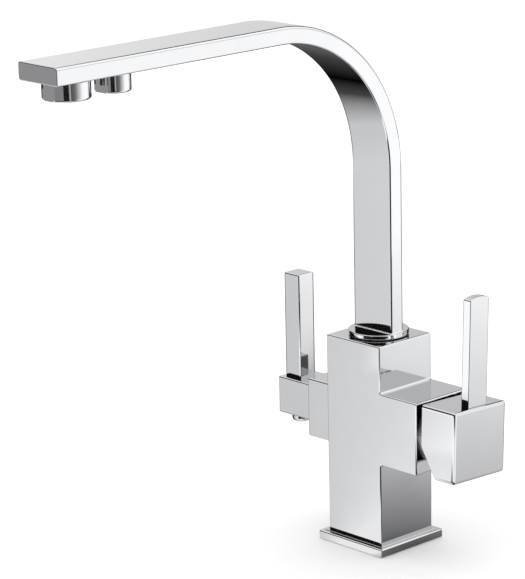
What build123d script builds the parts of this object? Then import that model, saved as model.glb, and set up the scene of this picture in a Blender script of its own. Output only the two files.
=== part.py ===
from build123d import *
import os
from math import cos, radians, sin

os.makedirs("parts", exist_ok=True)

# A three way kitchen tap. The origin is the centre of the base plate's underside, on the
# column's axis. +Z is up, the spout points along -Y, the mixer arm along +X and the filter
# arm along -X. All sizes are in millimetres.

# ---------------------------------------------------------------- driving dimensions

# Column, arms and base
column_width = 45.0
column_top = 131.8
plate_width = 54.4
plate_thickness = 5.5
plate_edge_radius = 1.0
arm_axis_height = 80.0
mixer_arm_reach = 52.5
filter_arm_width = 37.5
filter_arm_reach = 43.5
corner_radius = 1.1
edge_radius = 0.8
arm_root_radius = 0.8
rim_radius = 0.5

# Clearances
running_clearance = 0.05
assembly_clearance = 0.05
screw_end_gap = 0.3
groove_clearance = 0.1
ring_side_gap = 0.3
cut_overrun = 1.0

# Inlets in the underside of the column
inlet_block_radius = 16.0
inlet_block_height = 17.0
inlet_thread_radius = 4.5
inlet_thread_depth = 12.0
passage_radius = 3.4
hot_cold_offset_x = 3.0
hot_cold_offset_y = 7.0
filter_inlet_x = -10.0
stud_hole_x = 12.0
stud_hole_radius = 3.4
stud_hole_depth = 14.0
base_seal_outer_radius = 24.5
base_seal_inner_radius = 20.5
base_seal_thickness = 1.5

# Spout tube
spout_width = 32.6
spout_thickness = 10.4
spout_wall = 1.0
spout_corner_radius = 1.0
spout_top = 334.0
spout_reach = 257.2
spout_bend_radius = 92.2

# Spout foot and swivel
flange_radius = 18.5
flange_thickness = 2.8
washer_thickness = 0.6
washer_outer_radius = 17.8
spout_bore_radius = 13.0
shank_end_gap = 2.0
shank_radius = 12.6
shank_spigot_radius = 11.0
shank_spigot_height = 1.2
flange_slot_length = 17.0
shank_bore_radius = 9.5
shank_web = 3.5
web_port_radius = 2.0
web_port_circle = 7.4
slide_ring_height = 3.0
slide_ring_recess = 0.9
upper_slide_ring_depth = 4.8
lower_slide_ring_drop = 6.5
bore_floor_drop = 3.5
o_ring_thickness = 1.9
o_ring_groove_width = 2.3
o_ring_rises = (4.2, 9.2)
retaining_depth = 17.8
retaining_groove_width = 3.0
retaining_groove_depth = 1.2
retaining_tip_radius = 1.3
retaining_screw_radius = 2.5
retaining_screw_recess = 1.2
retaining_shoulder_gap = 0.2

# Filtered water tube inside the spout
filter_tube_radius = 2.5
filter_tube_bore = 1.7
tube_stop_height = 1.0
tube_connector_radius = 4.55
tube_connector_bore_depth = 10.0
tube_connector_end_gap = 0.5
tube_connector_flange_radius = 6.2
tube_connector_flange_height = 2.0
tube_socket_radius = 4.2
tube_socket_height = 6.5
connector_o_ring_rise = 4.5
connector_o_ring_thickness = 1.2
mixed_rise_shift = 0.6

# Main outlet under the spout's tip
main_outlet_inset = 19.6
main_outlet_drop = 10.8
aerator_radius = 13.5
outlet_gap = 0.25
collar_radius = 11.9
collar_bore = 9.8
collar_length = 4.6
aerator_lip = 2.4
aerator_lip_bore = 10.7
aerator_insert_rim = 2.2
aerator_recess = 0.6
honeycomb_cell = 2.5
honeycomb_web = 0.55
honeycomb_rows = 7
aerator_face_thickness = 1.6

# Filtered water outlet behind it
filter_outlet_spacing = 32.8
filter_outlet_drop = 11.4
filter_outlet_radius = 10.2
filter_stub_radius = 8.0
filter_stub_length = 5.0
filter_connector_width = 15.0
filter_connector_top_gap = 0.1
filter_tube_insertion = 4.0
filter_stub_bore = 3.2
filter_lip_bore = 7.0
filter_washer_bore = 6.0
filter_jet_radius = 0.75
filter_jet_pitch = 2.3

# Mixer cartridge, a 35 mm ceramic disc cartridge lying along the arm
cartridge_radius = 17.5
cartridge_depth = 32.5
cartridge_base_height = 8.0
port_radius = 3.0
port_low = -6.0
port_high = 8.5
port_seal_width = 1.5
port_seal_thickness = 1.4
peg_radius = 1.9
peg_length = 3.0
peg_offset_y = 11.5
peg_offset_z = 5.0
fixed_disc_radius = 13.0
ceramic_disc_thickness = 3.5
fixed_disc_recess = 2.0
moving_disc_radius = 12.0
moving_disc_rest = -1.6
disc_cavity_radius = 6.4
disc_cavity_depth = 2.0
disc_carrier_thickness = 4.2
tongue_height = 1.7
tongue_length = 7.2
housing_height = 23.0
housing_neck_radius = 14.0
housing_neck_height = 6.0
carrier_gap = 0.2
carrier_flange_radius = 15.5
carrier_flange_height = 3.6
carrier_neck_radius = 11.0
carrier_neck_recess = 0.5
carrier_slot_length = 14.0
pivot_height = 24.0
pivot_pin_radius = 1.5
pivot_pin_length = 21.4
stem_width = 9.0
stem_height = 8.0
stem_ball_arm = 8.4
stem_ball_radius = 2.2
stem_ball_clearance = 0.15
stem_swing_gap = 0.4
stem_neck_radius = 1.8
stem_block_start = 2.7
nut_radius = 19.0
nut_length = 8.5
nut_counterbore_depth = 10.0
nut_notch_width = 4.0
nut_notch_depth = 2.0
cover_ring_radius = 19.6
cover_ring_bore = 15.0
cover_ring_length = 3.7
cover_ring_spigot = 0.9
cover_ring_rounding = 1.2

# Mixer handle and lever
mixer_rest_turn = -2.0
mixer_handle_width = 44.7
mixer_handle_gap = 4.1
mixer_handle_length = 26.5
mixer_handle_top = 22.0
mixer_handle_bottom = -21.4
mixer_handle_chamfer_top = -4.6
mixer_handle_chamfer_length = 9.3
mixer_handle_chamfer_rounding = 5.0
mixer_handle_heel_rounding = 2.0
mixer_handle_wall = 2.0
mixer_handle_solid = 11.0
mixer_handle_rounding = 2.2
mixer_handle_edge = 1.1
mixer_boss_radius = 9.0
mixer_boss_gap = 5.5
mixer_socket_depth = 14.6
mixer_stem_insertion = 14.2
handle_screw_radius = 2.5
handle_screw_length = 4.6
mixer_screw_offset = 11.2
mixer_lever_thickness = 5.6
mixer_lever_width = 15.5
mixer_lever_length = 66.1
mixer_lever_crown = 1.6
mixer_lever_inset = 5.5
mixer_lever_rounding = 1.8
mixer_lever_edge = 0.5
lever_tenon_radius = 2.5
lever_tenon_length = 9.0
lever_screw_radius = 2.0
lever_screw_drop = 5.3

# Filter valve, a quarter turn ceramic disc headwork lying along the arm
filter_seat_depth = 25.5
filter_bore_depth = 23.5
filter_bore_radius = 13.0
filter_channel_offset = 10.8
filter_channel_radius = 2.0
valve_nose_radius = 8.6
valve_nose_bore = 7.6
valve_seal_thickness = 1.6
valve_seal_bore = 4.0
valve_disc_radius = 7.5
valve_disc_thickness = 3.0
valve_sector_angle = 80.0
valve_sector_inner = 1.6
valve_sector_outer = 6.0
valve_drive_slot = 3.0
valve_drive_depth = 1.2
valve_flange_recess = 0.2
valve_flange_length = 10.3
valve_hex_across = 17.0
valve_hex_length = 4.0
valve_window_width = 6.0
valve_window_length = 4.0
spindle_radius = 4.95
spindle_drive_thickness = 3.0
spindle_drive_radius = 7.4
spindle_square = 7.0
spindle_drive_edge_gap = 1.0
spindle_square_offset = 5.5
spindle_square_length = 11.0
spindle_o_ring_depth = 6.5
spindle_o_ring_thickness = 1.4
spindle_clip_gap = 0.2
spindle_clip_thickness = 0.8
spindle_clip_radius = 6.3
spindle_clip_groove_radius = 4.1

# Filter handle and lever
filter_handle_width = 23.6
filter_handle_gap = 1.5
filter_handle_length = 32.0
filter_handle_edge = 1.0
filter_handle_end_edge = 0.8
filter_counterbore_radius = 10.3
filter_counterbore_depth = 5.0
filter_socket_depth = 16.0
filter_screw_offset = 11.0
filter_lever_width = 13.0
filter_lever_length = 66.0
filter_lever_inset = 7.9
filter_lever_rounding = 1.0
filter_lever_top_edge = 0.8
filter_stud_radius = 3.0
filter_stud_insertion = 12.0
cap_nut_radius = 5.75
cap_nut_height = 6.5
cap_nut_rounding = 2.3
cap_nut_end_wall = 1.8

# ---------------------------------------------------------------- places worked out from them

column_axis = Plane.XY
mixer_axis = Plane(origin=(0, 0, arm_axis_height), x_dir=(0, 1, 0), z_dir=(1, 0, 0))
filter_axis = Plane(origin=(0, 0, arm_axis_height), x_dir=(0, -1, 0), z_dir=(-1, 0, 0))

flange_bottom = column_top + washer_thickness
spout_foot = flange_bottom + flange_thickness
spigot_top = flange_bottom + shank_spigot_height
spout_centre_height = spout_top - spout_thickness / 2
spout_underside = spout_top - spout_thickness
spout_inner_floor = spout_underside + spout_wall
spout_inner_height = spout_thickness - 2 * spout_wall
main_outlet_y = main_outlet_inset - spout_reach
filter_outlet_y = main_outlet_y + filter_outlet_spacing

retaining_height = column_top - retaining_depth
lower_slide_ring = retaining_height - lower_slide_ring_drop
slide_ring_bases = (lower_slide_ring, column_top - upper_slide_ring_depth)
o_ring_heights = tuple(retaining_height + rise for rise in o_ring_rises)
spout_bore_floor = lower_slide_ring - bore_floor_drop
shank_bottom = spout_bore_floor + shank_end_gap
web_top = shank_bottom + shank_web
tube_connector_bore_floor = spout_bore_floor - tube_connector_bore_depth
tube_connector_bottom = tube_connector_bore_floor + tube_connector_end_gap
connector_o_ring_height = tube_connector_bottom + connector_o_ring_rise
tube_connector_top = web_top + tube_connector_flange_height
tube_start = tube_connector_top + tube_stop_height

cartridge_floor = mixer_arm_reach - cartridge_depth
housing_shoulder = cartridge_floor + housing_height
housing_neck_end = housing_shoulder + housing_neck_height
carrier_neck_end = housing_neck_end - carrier_neck_recess
pivot_reach = cartridge_floor + pivot_height
cartridge_ports = (
    (-hot_cold_offset_y, port_low),
    (hot_cold_offset_y, port_low),
    (0, port_high),
)
cartridge_pegs = ((-peg_offset_y, peg_offset_z), (peg_offset_y, peg_offset_z))
base_end = cartridge_floor + cartridge_base_height
fixed_disc_start = base_end - fixed_disc_recess
fixed_disc_end = fixed_disc_start + ceramic_disc_thickness
moving_disc_end = fixed_disc_end + ceramic_disc_thickness
disc_carrier_end = moving_disc_end + disc_carrier_thickness
carrier_start = disc_carrier_end + carrier_gap
carrier_shoulder = carrier_start + carrier_flange_height
housing_bore = carrier_flange_radius + 2 * running_clearance
carrier_slot_width = stem_width + 2 * running_clearance
nut_end = housing_shoulder + nut_length
cover_ring_end = mixer_arm_reach + cover_ring_length

mixer_handle_rim = mixer_arm_reach + mixer_handle_gap
mixer_handle_end = mixer_handle_rim + mixer_handle_length
mixer_handle_chamfer_end = mixer_handle_rim + mixer_handle_chamfer_length
mixer_cavity_end = mixer_handle_end - mixer_handle_solid
mixer_boss_start = mixer_arm_reach + mixer_boss_gap
mixer_screw_reach = mixer_boss_start + mixer_screw_offset
mixer_lever_centre = mixer_handle_end - mixer_lever_inset

filter_seat_floor = filter_arm_reach - filter_seat_depth
filter_bore_floor = filter_arm_reach - filter_bore_depth
valve_nose_start = filter_seat_floor + valve_seal_thickness
valve_moving_start = valve_nose_start + valve_disc_thickness
valve_moving_end = valve_moving_start + valve_disc_thickness
spindle_drive_end = valve_moving_end + spindle_drive_thickness
valve_flange_end = filter_arm_reach - valve_flange_recess
valve_flange_start = valve_flange_end - valve_flange_length
valve_hex_end = valve_flange_end + valve_hex_length
spindle_clip_start = valve_hex_end + spindle_clip_gap
spindle_square_start = filter_arm_reach + spindle_square_offset
spindle_end = spindle_square_start + spindle_square_length
spindle_o_ring_reach = filter_arm_reach - spindle_o_ring_depth
filter_handle_start = filter_arm_reach + filter_handle_gap
filter_handle_end = filter_handle_start + filter_handle_length
filter_socket_end = filter_handle_start + filter_socket_depth
filter_screw_reach = filter_handle_start + filter_screw_offset
filter_lever_centre = filter_handle_end - filter_lever_inset


# ---------------------------------------------------------------- shared operations


def turned(axis_plane, outline, mode=Mode.ADD):
    """Revolve an outline of (radius, station) points about the plane's normal."""
    side = Plane(axis_plane.origin, x_dir=axis_plane.x_dir, z_dir=-axis_plane.y_dir)
    with BuildSketch(side) as profile:
        with BuildLine():
            Polyline(*outline, close=True)
        make_face()
    revolve(profile.sketch, axis=Axis(axis_plane.origin, axis_plane.z_dir), mode=mode)


def barrel(axis_plane, start, end, radius, bore=0.0, at=(0, 0), mode=Mode.ADD):
    """A round length, or a ring where a bore is given, between two stations on an axis."""
    with BuildSketch(axis_plane.offset(start)) as profile:
        with Locations(at):
            Circle(radius)
            if bore:
                Circle(bore, mode=Mode.SUBTRACT)
    extrude(profile.sketch, amount=end - start, mode=mode)


def bar(axis_plane, start, end, width, height, rounding=0.0, at=(0, 0), mode=Mode.ADD):
    """A rectangular length between two stations on an axis."""
    with BuildSketch(axis_plane.offset(start)) as profile:
        with Locations(at):
            if rounding:
                RectangleRounded(width, height, rounding)
            else:
                Rectangle(width, height)
    extrude(profile.sketch, amount=end - start, mode=mode)


def o_ring(axis_plane, station, outer_radius, thickness):
    """A rubber ring of round section whose middle lies at a station on an axis."""
    side = Plane(axis_plane.origin, x_dir=axis_plane.x_dir, z_dir=-axis_plane.y_dir)
    with BuildSketch(side) as section:
        with Locations((outer_radius - thickness / 2, station)):
            Circle(thickness / 2)
    revolve(section.sketch, axis=Axis(axis_plane.origin, axis_plane.z_dir))


def groove(axis_plane, middle, width, outer_radius, floor_radius):
    """Turn a groove into the piece being made."""
    barrel(
        axis_plane, middle - width / 2, middle + width / 2, outer_radius + cut_overrun,
        floor_radius, mode=Mode.SUBTRACT,
    )


def grub_screw(axis_plane, start, end, radius, at=(0, 0)):
    """A headless screw with a hexagon socket in the end it starts from."""
    barrel(axis_plane, start, end, radius, at=at)
    with BuildSketch(axis_plane.offset(start)) as socket:
        with Locations(at):
            RegularPolygon(radius / 2, 6)
    extrude(socket.sketch, amount=(end - start) / 2, mode=Mode.SUBTRACT)


def spout_path(start, end_y):
    """The spout's centreline in the YZ plane: riser, one large bend and the level run."""
    bend_start = spout_centre_height - spout_bend_radius
    with BuildLine(Plane.YZ) as path:
        Line((0, start), (0, bend_start))
        TangentArc((0, bend_start), (-spout_bend_radius, spout_centre_height), tangent=(0, 1))
        Line((-spout_bend_radius, spout_centre_height), (end_y, spout_centre_height))
    return path.line


# ---------------------------------------------------------------- body and base

with BuildPart() as tap_body:
    # column and mixer arm share one square section, so they are one profile seen from the front
    with BuildSketch(Plane.XZ.offset(-column_width / 2)) as front_profile:
        with Locations((0, (plate_thickness + column_top) / 2)):
            Rectangle(column_width, column_top - plate_thickness)
        with Locations((mixer_arm_reach / 2, arm_axis_height)):
            Rectangle(mixer_arm_reach, column_width)
        fillet(front_profile.vertices().group_by(Axis.Y)[1:], corner_radius)
    extrude(front_profile.sketch, amount=column_width)
    side_edges = tap_body.faces().filter_by(Axis.Y).edges()
    fillet(side_edges.filter_by(lambda edge: edge.center().Z > plate_thickness), edge_radius)
    bar(filter_axis, 0, filter_arm_reach, filter_arm_width, filter_arm_width, corner_radius)
    fillet(tap_body.faces().sort_by(Axis.X)[0].edges(), edge_radius)
    column_side = tap_body.faces().filter_by(Axis.X).group_by(Axis.X)[1][0]
    fillet(column_side.inner_wires()[0].edges(), arm_root_radius)
    # seat of the inlet block and the drillings that rise from it
    barrel(
        column_axis, plate_thickness, inlet_block_height,
        inlet_block_radius + assembly_clearance, mode=Mode.SUBTRACT,
    )
    for side in (-1, 1):
        rise_top = arm_axis_height + port_low + port_radius
        barrel(
            column_axis, inlet_block_height, rise_top, passage_radius,
            at=(hot_cold_offset_x, side * hot_cold_offset_y), mode=Mode.SUBTRACT,
        )
        barrel(
            mixer_axis, hot_cold_offset_x, cartridge_floor, port_radius,
            at=(side * hot_cold_offset_y, port_low), mode=Mode.SUBTRACT,
        )
    barrel(
        column_axis, inlet_block_height, arm_axis_height + passage_radius, passage_radius,
        at=(filter_inlet_x, 0), mode=Mode.SUBTRACT,
    )
    barrel(filter_axis, -filter_inlet_x, filter_seat_floor, passage_radius, mode=Mode.SUBTRACT)
    # mixed water rises beside the axis, filtered water on it
    mixed_rise_x = (spout_bore_radius + tube_connector_radius) / 2 + mixed_rise_shift
    barrel(
        mixer_axis, mixed_rise_x - port_radius, cartridge_floor, port_radius,
        at=(0, port_high), mode=Mode.SUBTRACT,
    )
    barrel(
        column_axis, arm_axis_height + port_high, spout_bore_floor, port_radius,
        at=(mixed_rise_x, 0), mode=Mode.SUBTRACT,
    )
    barrel(
        filter_axis, 0, filter_bore_floor, filter_channel_radius,
        at=(0, filter_channel_offset), mode=Mode.SUBTRACT,
    )
    barrel(
        column_axis, arm_axis_height + filter_channel_offset - filter_channel_radius,
        tube_connector_bore_floor, filter_channel_radius, mode=Mode.SUBTRACT,
    )
    barrel(
        column_axis, tube_connector_bore_floor, spout_bore_floor,
        tube_connector_radius + running_clearance, mode=Mode.SUBTRACT,
    )
    barrel(column_axis, spout_bore_floor, column_top, spout_bore_radius, mode=Mode.SUBTRACT)
    barrel(
        Plane.XZ.offset(-column_width / 2), 0,
        column_width / 2 - spout_bore_radius + cut_overrun,
        retaining_screw_radius + assembly_clearance, at=(0, retaining_height),
        mode=Mode.SUBTRACT,
    )
    # mixer cartridge seat with its peg holes and the nut's counterbore
    barrel(
        mixer_axis, cartridge_floor, mixer_arm_reach,
        cartridge_radius + assembly_clearance, mode=Mode.SUBTRACT,
    )
    barrel(
        mixer_axis, mixer_arm_reach - nut_counterbore_depth, mixer_arm_reach,
        nut_radius + assembly_clearance, mode=Mode.SUBTRACT,
    )
    for peg in cartridge_pegs:
        barrel(
            mixer_axis, cartridge_floor - peg_length - screw_end_gap, cartridge_floor,
            peg_radius + assembly_clearance, at=peg, mode=Mode.SUBTRACT,
        )
    # filter valve seat
    barrel(
        filter_axis, filter_seat_floor, filter_bore_floor,
        valve_nose_radius + assembly_clearance, mode=Mode.SUBTRACT,
    )
    barrel(
        filter_axis, filter_bore_floor, filter_arm_reach,
        filter_bore_radius, mode=Mode.SUBTRACT,
    )

with BuildPart() as base_plate:
    bar(column_axis, 0, plate_thickness, plate_width, plate_width, corner_radius)
    fillet(base_plate.edges().group_by(Axis.Z)[-1], plate_edge_radius)
    barrel(
        column_axis, 0, plate_thickness,
        inlet_block_radius + assembly_clearance, mode=Mode.SUBTRACT,
    )
    barrel(
        column_axis, 0, base_seal_thickness, base_seal_outer_radius + assembly_clearance,
        base_seal_inner_radius - assembly_clearance, mode=Mode.SUBTRACT,
    )

with BuildPart() as base_seal:
    barrel(column_axis, 0, base_seal_thickness, base_seal_outer_radius, base_seal_inner_radius)

inlet_places = (
    (hot_cold_offset_x, hot_cold_offset_y),
    (hot_cold_offset_x, -hot_cold_offset_y),
    (filter_inlet_x, 0),
)
with BuildPart() as inlet_block:
    barrel(column_axis, 0, inlet_block_height, inlet_block_radius)
    for place in inlet_places:
        barrel(
            column_axis, 0, inlet_thread_depth, inlet_thread_radius,
            at=place, mode=Mode.SUBTRACT,
        )
        barrel(
            column_axis, inlet_thread_depth, inlet_block_height, passage_radius,
            at=place, mode=Mode.SUBTRACT,
        )
    barrel(
        column_axis, 0, stud_hole_depth, stud_hole_radius,
        at=(stud_hole_x, 0), mode=Mode.SUBTRACT,
    )

with BuildPart() as swivel_washer:
    barrel(
        column_axis, column_top, flange_bottom, washer_outer_radius,
        spout_bore_radius + running_clearance,
    )

# the screw enters from the back of the column and its tip runs in the shank's groove
with BuildPart() as spout_retaining_screw:
    back = Plane.XZ.offset(-column_width / 2)
    shoulder = column_width / 2 - spout_bore_radius - retaining_shoulder_gap
    grub_screw(
        back, retaining_screw_recess, shoulder, retaining_screw_radius, at=(0, retaining_height)
    )
    barrel(
        back, shoulder,
        column_width / 2 - shank_radius + retaining_groove_depth - screw_end_gap,
        retaining_tip_radius, at=(0, retaining_height),
    )

# ---------------------------------------------------------------- spout and its foot

with BuildPart() as spout:
    outer_path = spout_path(spout_foot, -spout_reach)
    with BuildSketch(Plane.XY.offset(spout_foot)) as outer_section:
        RectangleRounded(spout_width, spout_thickness, spout_corner_radius)
    sweep(outer_section.sketch, path=outer_path)
    fillet(spout.edges().group_by(Axis.Y)[0], rim_radius)
    inner_path = spout_path(spout_foot, -spout_reach + spout_wall)
    with BuildSketch(Plane.XY.offset(spout_foot)) as inner_section:
        Rectangle(spout_width - 2 * spout_wall, spout_inner_height)
    sweep(inner_section.sketch, path=inner_path, mode=Mode.SUBTRACT)
    barrel(
        column_axis, spout_underside, spout_inner_floor, collar_bore,
        at=(0, main_outlet_y), mode=Mode.SUBTRACT,
    )
    barrel(
        column_axis, spout_underside, spout_inner_floor,
        filter_stub_radius + assembly_clearance, at=(0, filter_outlet_y), mode=Mode.SUBTRACT,
    )

with BuildPart() as spout_flange:
    barrel(column_axis, flange_bottom, spout_foot, flange_radius)
    fillet(spout_flange.edges().filter_by(GeomType.CIRCLE), rim_radius)
    barrel(
        column_axis, flange_bottom, spigot_top, shank_spigot_radius + assembly_clearance,
        mode=Mode.SUBTRACT,
    )
    bar(
        column_axis, spigot_top, spout_foot, flange_slot_length, spout_inner_height,
        mode=Mode.SUBTRACT,
    )

with BuildPart() as spout_shank:
    barrel(column_axis, shank_bottom, flange_bottom, shank_radius)
    barrel(column_axis, flange_bottom, spigot_top, shank_spigot_radius)
    barrel(column_axis, web_top, spigot_top, shank_bore_radius, mode=Mode.SUBTRACT)
    barrel(
        column_axis, shank_bottom, web_top,
        tube_connector_radius + assembly_clearance, mode=Mode.SUBTRACT,
    )
    with BuildSketch(Plane.XY.offset(shank_bottom)) as web_ports:
        with PolarLocations(web_port_circle, 4, start_angle=45):
            Circle(web_port_radius)
    extrude(web_ports.sketch, amount=shank_web, mode=Mode.SUBTRACT)
    for base in slide_ring_bases:
        groove(
            column_axis, base + slide_ring_height / 2, slide_ring_height + groove_clearance,
            shank_radius, shank_radius - slide_ring_recess,
        )
    for height in o_ring_heights:
        groove(
            column_axis, height, o_ring_groove_width, shank_radius,
            spout_bore_radius - o_ring_thickness - groove_clearance,
        )
    groove(
        column_axis, retaining_height, retaining_groove_width, shank_radius,
        shank_radius - retaining_groove_depth,
    )

with BuildPart() as spout_slide_rings:
    for base in slide_ring_bases:
        barrel(
            column_axis, base, base + slide_ring_height, spout_bore_radius - running_clearance,
            shank_radius - slide_ring_recess + assembly_clearance,
        )

with BuildPart() as spout_o_rings:
    for height in o_ring_heights:
        o_ring(column_axis, height, spout_bore_radius - running_clearance, o_ring_thickness)

# ---------------------------------------------------------------- filtered water inside the spout

with BuildPart() as filter_tube:
    tube_end_y = filter_outlet_y + filter_connector_width / 2 - filter_tube_insertion
    tube_path = spout_path(tube_start, tube_end_y)
    with BuildSketch(Plane.XY.offset(tube_start)) as tube_section:
        Circle(filter_tube_radius)
        Circle(filter_tube_bore, mode=Mode.SUBTRACT)
    sweep(tube_section.sketch, path=tube_path)

with BuildPart() as filter_tube_connector:
    socket_top = tube_connector_top + tube_socket_height
    barrel(column_axis, tube_connector_bottom, web_top, tube_connector_radius)
    barrel(column_axis, web_top, tube_connector_top, tube_connector_flange_radius)
    barrel(column_axis, tube_connector_top, socket_top, tube_socket_radius)
    barrel(
        column_axis, tube_connector_bottom, tube_start, filter_tube_bore, mode=Mode.SUBTRACT
    )
    barrel(
        column_axis, tube_start, socket_top,
        filter_tube_radius + assembly_clearance, mode=Mode.SUBTRACT,
    )
    groove(
        column_axis, connector_o_ring_height, connector_o_ring_thickness + ring_side_gap,
        tube_connector_radius,
        tube_connector_radius - connector_o_ring_thickness - groove_clearance,
    )

with BuildPart() as connector_o_ring:
    o_ring(
        column_axis, connector_o_ring_height, tube_connector_radius, connector_o_ring_thickness
    )

filter_outlet_axis = Plane((0, filter_outlet_y, 0))
with BuildPart() as filter_outlet_connector:
    block_top = spout_inner_floor + spout_inner_height - filter_connector_top_gap
    bar(
        filter_outlet_axis, spout_inner_floor, block_top, filter_connector_width,
        filter_connector_width, corner_radius,
    )
    barrel(
        filter_outlet_axis, spout_underside - filter_stub_length, spout_inner_floor,
        filter_stub_radius,
    )
    barrel(
        filter_outlet_axis, spout_underside - filter_stub_length, spout_centre_height,
        filter_stub_bore, mode=Mode.SUBTRACT,
    )
    entry = Plane.XZ.offset(-filter_outlet_y - filter_connector_width / 2)
    barrel(
        entry, 0, filter_tube_insertion, filter_tube_radius + assembly_clearance,
        at=(0, spout_centre_height), mode=Mode.SUBTRACT,
    )
    barrel(
        entry, filter_tube_insertion, filter_connector_width / 2, filter_tube_bore,
        at=(0, spout_centre_height), mode=Mode.SUBTRACT,
    )

# ---------------------------------------------------------------- outlets

main_outlet_axis = Plane((0, main_outlet_y, 0))
collar_bottom = spout_underside - collar_length
aerator_bottom = spout_underside - main_outlet_drop
aerator_lip_top = aerator_bottom + aerator_lip
aerator_rim_top = aerator_lip_top + aerator_insert_rim
aerator_thread = collar_radius + assembly_clearance

with BuildPart() as main_outlet_collar:
    barrel(main_outlet_axis, collar_bottom, spout_underside, collar_radius, collar_bore)

with BuildPart() as main_aerator_housing:
    turned(
        main_outlet_axis,
        (
            (aerator_lip_bore, aerator_bottom),
            (aerator_radius, aerator_bottom),
            (aerator_radius, spout_underside - outlet_gap),
            (aerator_thread, spout_underside - outlet_gap),
            (aerator_thread, aerator_lip_top),
            (aerator_lip_bore, aerator_lip_top),
        ),
    )
    outside = main_aerator_housing.faces().sort_by(SortBy.AREA)[-1]
    fillet(outside.edges().filter_by(GeomType.CIRCLE), rim_radius)

with BuildPart() as main_aerator_insert:
    face_bottom = aerator_bottom + aerator_recess
    insert_radius = aerator_lip_bore - assembly_clearance
    barrel(main_outlet_axis, face_bottom, aerator_lip_top, insert_radius)
    barrel(
        main_outlet_axis, aerator_lip_top, aerator_rim_top, aerator_thread - assembly_clearance
    )
    barrel(
        main_outlet_axis, face_bottom + aerator_face_thickness, aerator_rim_top,
        collar_bore, mode=Mode.SUBTRACT,
    )
    cell_pitch = honeycomb_cell + honeycomb_web
    with BuildSketch(main_outlet_axis.offset(face_bottom)) as honeycomb:
        with HexLocations(
            cell_pitch / 2, honeycomb_rows, honeycomb_rows, major_radius=False
        ) as cells:
            for cell in cells.local_locations:
                if cell.position.length + cell_pitch / 2 < collar_bore:
                    with Locations(cell.position):
                        RegularPolygon(honeycomb_cell / 2, 6, major_radius=False)
    extrude(honeycomb.sketch, amount=aerator_face_thickness, mode=Mode.SUBTRACT)

with BuildPart() as main_aerator_washer:
    barrel(
        main_outlet_axis, aerator_rim_top, collar_bottom, collar_radius, collar_bore,
    )

stub_bottom = spout_underside - filter_stub_length
filter_bottom = spout_underside - filter_outlet_drop
filter_thread = filter_stub_radius + assembly_clearance
filter_lip_top = filter_bottom + aerator_lip
filter_rim_top = filter_lip_top + aerator_insert_rim

with BuildPart() as filter_outlet_housing:
    turned(
        filter_outlet_axis,
        (
            (filter_lip_bore, filter_bottom),
            (filter_outlet_radius, filter_bottom),
            (filter_outlet_radius, spout_underside - outlet_gap),
            (filter_thread, spout_underside - outlet_gap),
            (filter_thread, filter_lip_top),
            (filter_lip_bore, filter_lip_top),
        ),
    )
    outside = filter_outlet_housing.faces().sort_by(SortBy.AREA)[-1]
    fillet(outside.edges().filter_by(GeomType.CIRCLE), rim_radius)

with BuildPart() as filter_outlet_insert:
    jet_face = filter_bottom + aerator_recess
    barrel(filter_outlet_axis, jet_face, filter_lip_top, filter_lip_bore - assembly_clearance)
    barrel(filter_outlet_axis, filter_lip_top, filter_rim_top, filter_stub_radius)
    barrel(
        filter_outlet_axis, jet_face + aerator_face_thickness, filter_rim_top,
        filter_washer_bore, mode=Mode.SUBTRACT,
    )
    with BuildSketch(filter_outlet_axis.offset(jet_face)) as jets:
        Circle(filter_jet_radius)
        for ring in (1, 2):
            with PolarLocations(ring * filter_jet_pitch, 6 * ring):
                Circle(filter_jet_radius)
    extrude(jets.sketch, amount=aerator_face_thickness, mode=Mode.SUBTRACT)

with BuildPart() as filter_outlet_washer:
    barrel(
        filter_outlet_axis, filter_rim_top, stub_bottom, filter_stub_radius,
        filter_washer_bore,
    )

# ---------------------------------------------------------------- mixer cartridge, fixed pieces

with BuildPart() as cartridge_base:
    barrel(mixer_axis, cartridge_floor, base_end, cartridge_radius)
    barrel(
        mixer_axis, fixed_disc_start, base_end,
        fixed_disc_radius + assembly_clearance, mode=Mode.SUBTRACT,
    )
    for port in cartridge_ports:
        barrel(
            mixer_axis, cartridge_floor, fixed_disc_start, port_radius,
            at=port, mode=Mode.SUBTRACT,
        )
        barrel(
            mixer_axis, cartridge_floor, cartridge_floor + port_seal_thickness,
            port_radius + port_seal_width + assembly_clearance, at=port, mode=Mode.SUBTRACT,
        )
    for peg in cartridge_pegs:
        barrel(mixer_axis, cartridge_floor - peg_length, cartridge_floor, peg_radius, at=peg)

with BuildPart() as cartridge_seals:
    for port in cartridge_ports:
        barrel(
            mixer_axis, cartridge_floor, cartridge_floor + port_seal_thickness,
            port_radius + port_seal_width, port_radius, at=port,
        )

with BuildPart() as cartridge_fixed_disc:
    barrel(mixer_axis, fixed_disc_start, fixed_disc_end, fixed_disc_radius)
    for port in cartridge_ports:
        barrel(
            mixer_axis, fixed_disc_start, fixed_disc_end, port_radius,
            at=port, mode=Mode.SUBTRACT,
        )

with BuildPart() as cartridge_housing:
    neck_bore = carrier_neck_radius + running_clearance
    turned(
        mixer_axis,
        (
            (housing_bore, base_end),
            (cartridge_radius, base_end),
            (cartridge_radius, housing_shoulder),
            (housing_neck_radius, housing_shoulder),
            (housing_neck_radius, housing_neck_end),
            (neck_bore, housing_neck_end),
            (neck_bore, carrier_shoulder + running_clearance),
            (housing_bore, carrier_shoulder + running_clearance),
        ),
    )

with BuildPart() as cartridge_nut:
    barrel(
        mixer_axis, housing_shoulder, nut_end, nut_radius,
        housing_neck_radius + assembly_clearance,
    )
    with BuildSketch(mixer_axis.offset(nut_end - nut_notch_depth)) as notches:
        Rectangle(2 * (nut_radius + cut_overrun), nut_notch_width)
        Rectangle(nut_notch_width, 2 * (nut_radius + cut_overrun))
    extrude(notches.sketch, amount=nut_notch_depth, mode=Mode.SUBTRACT)

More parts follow.
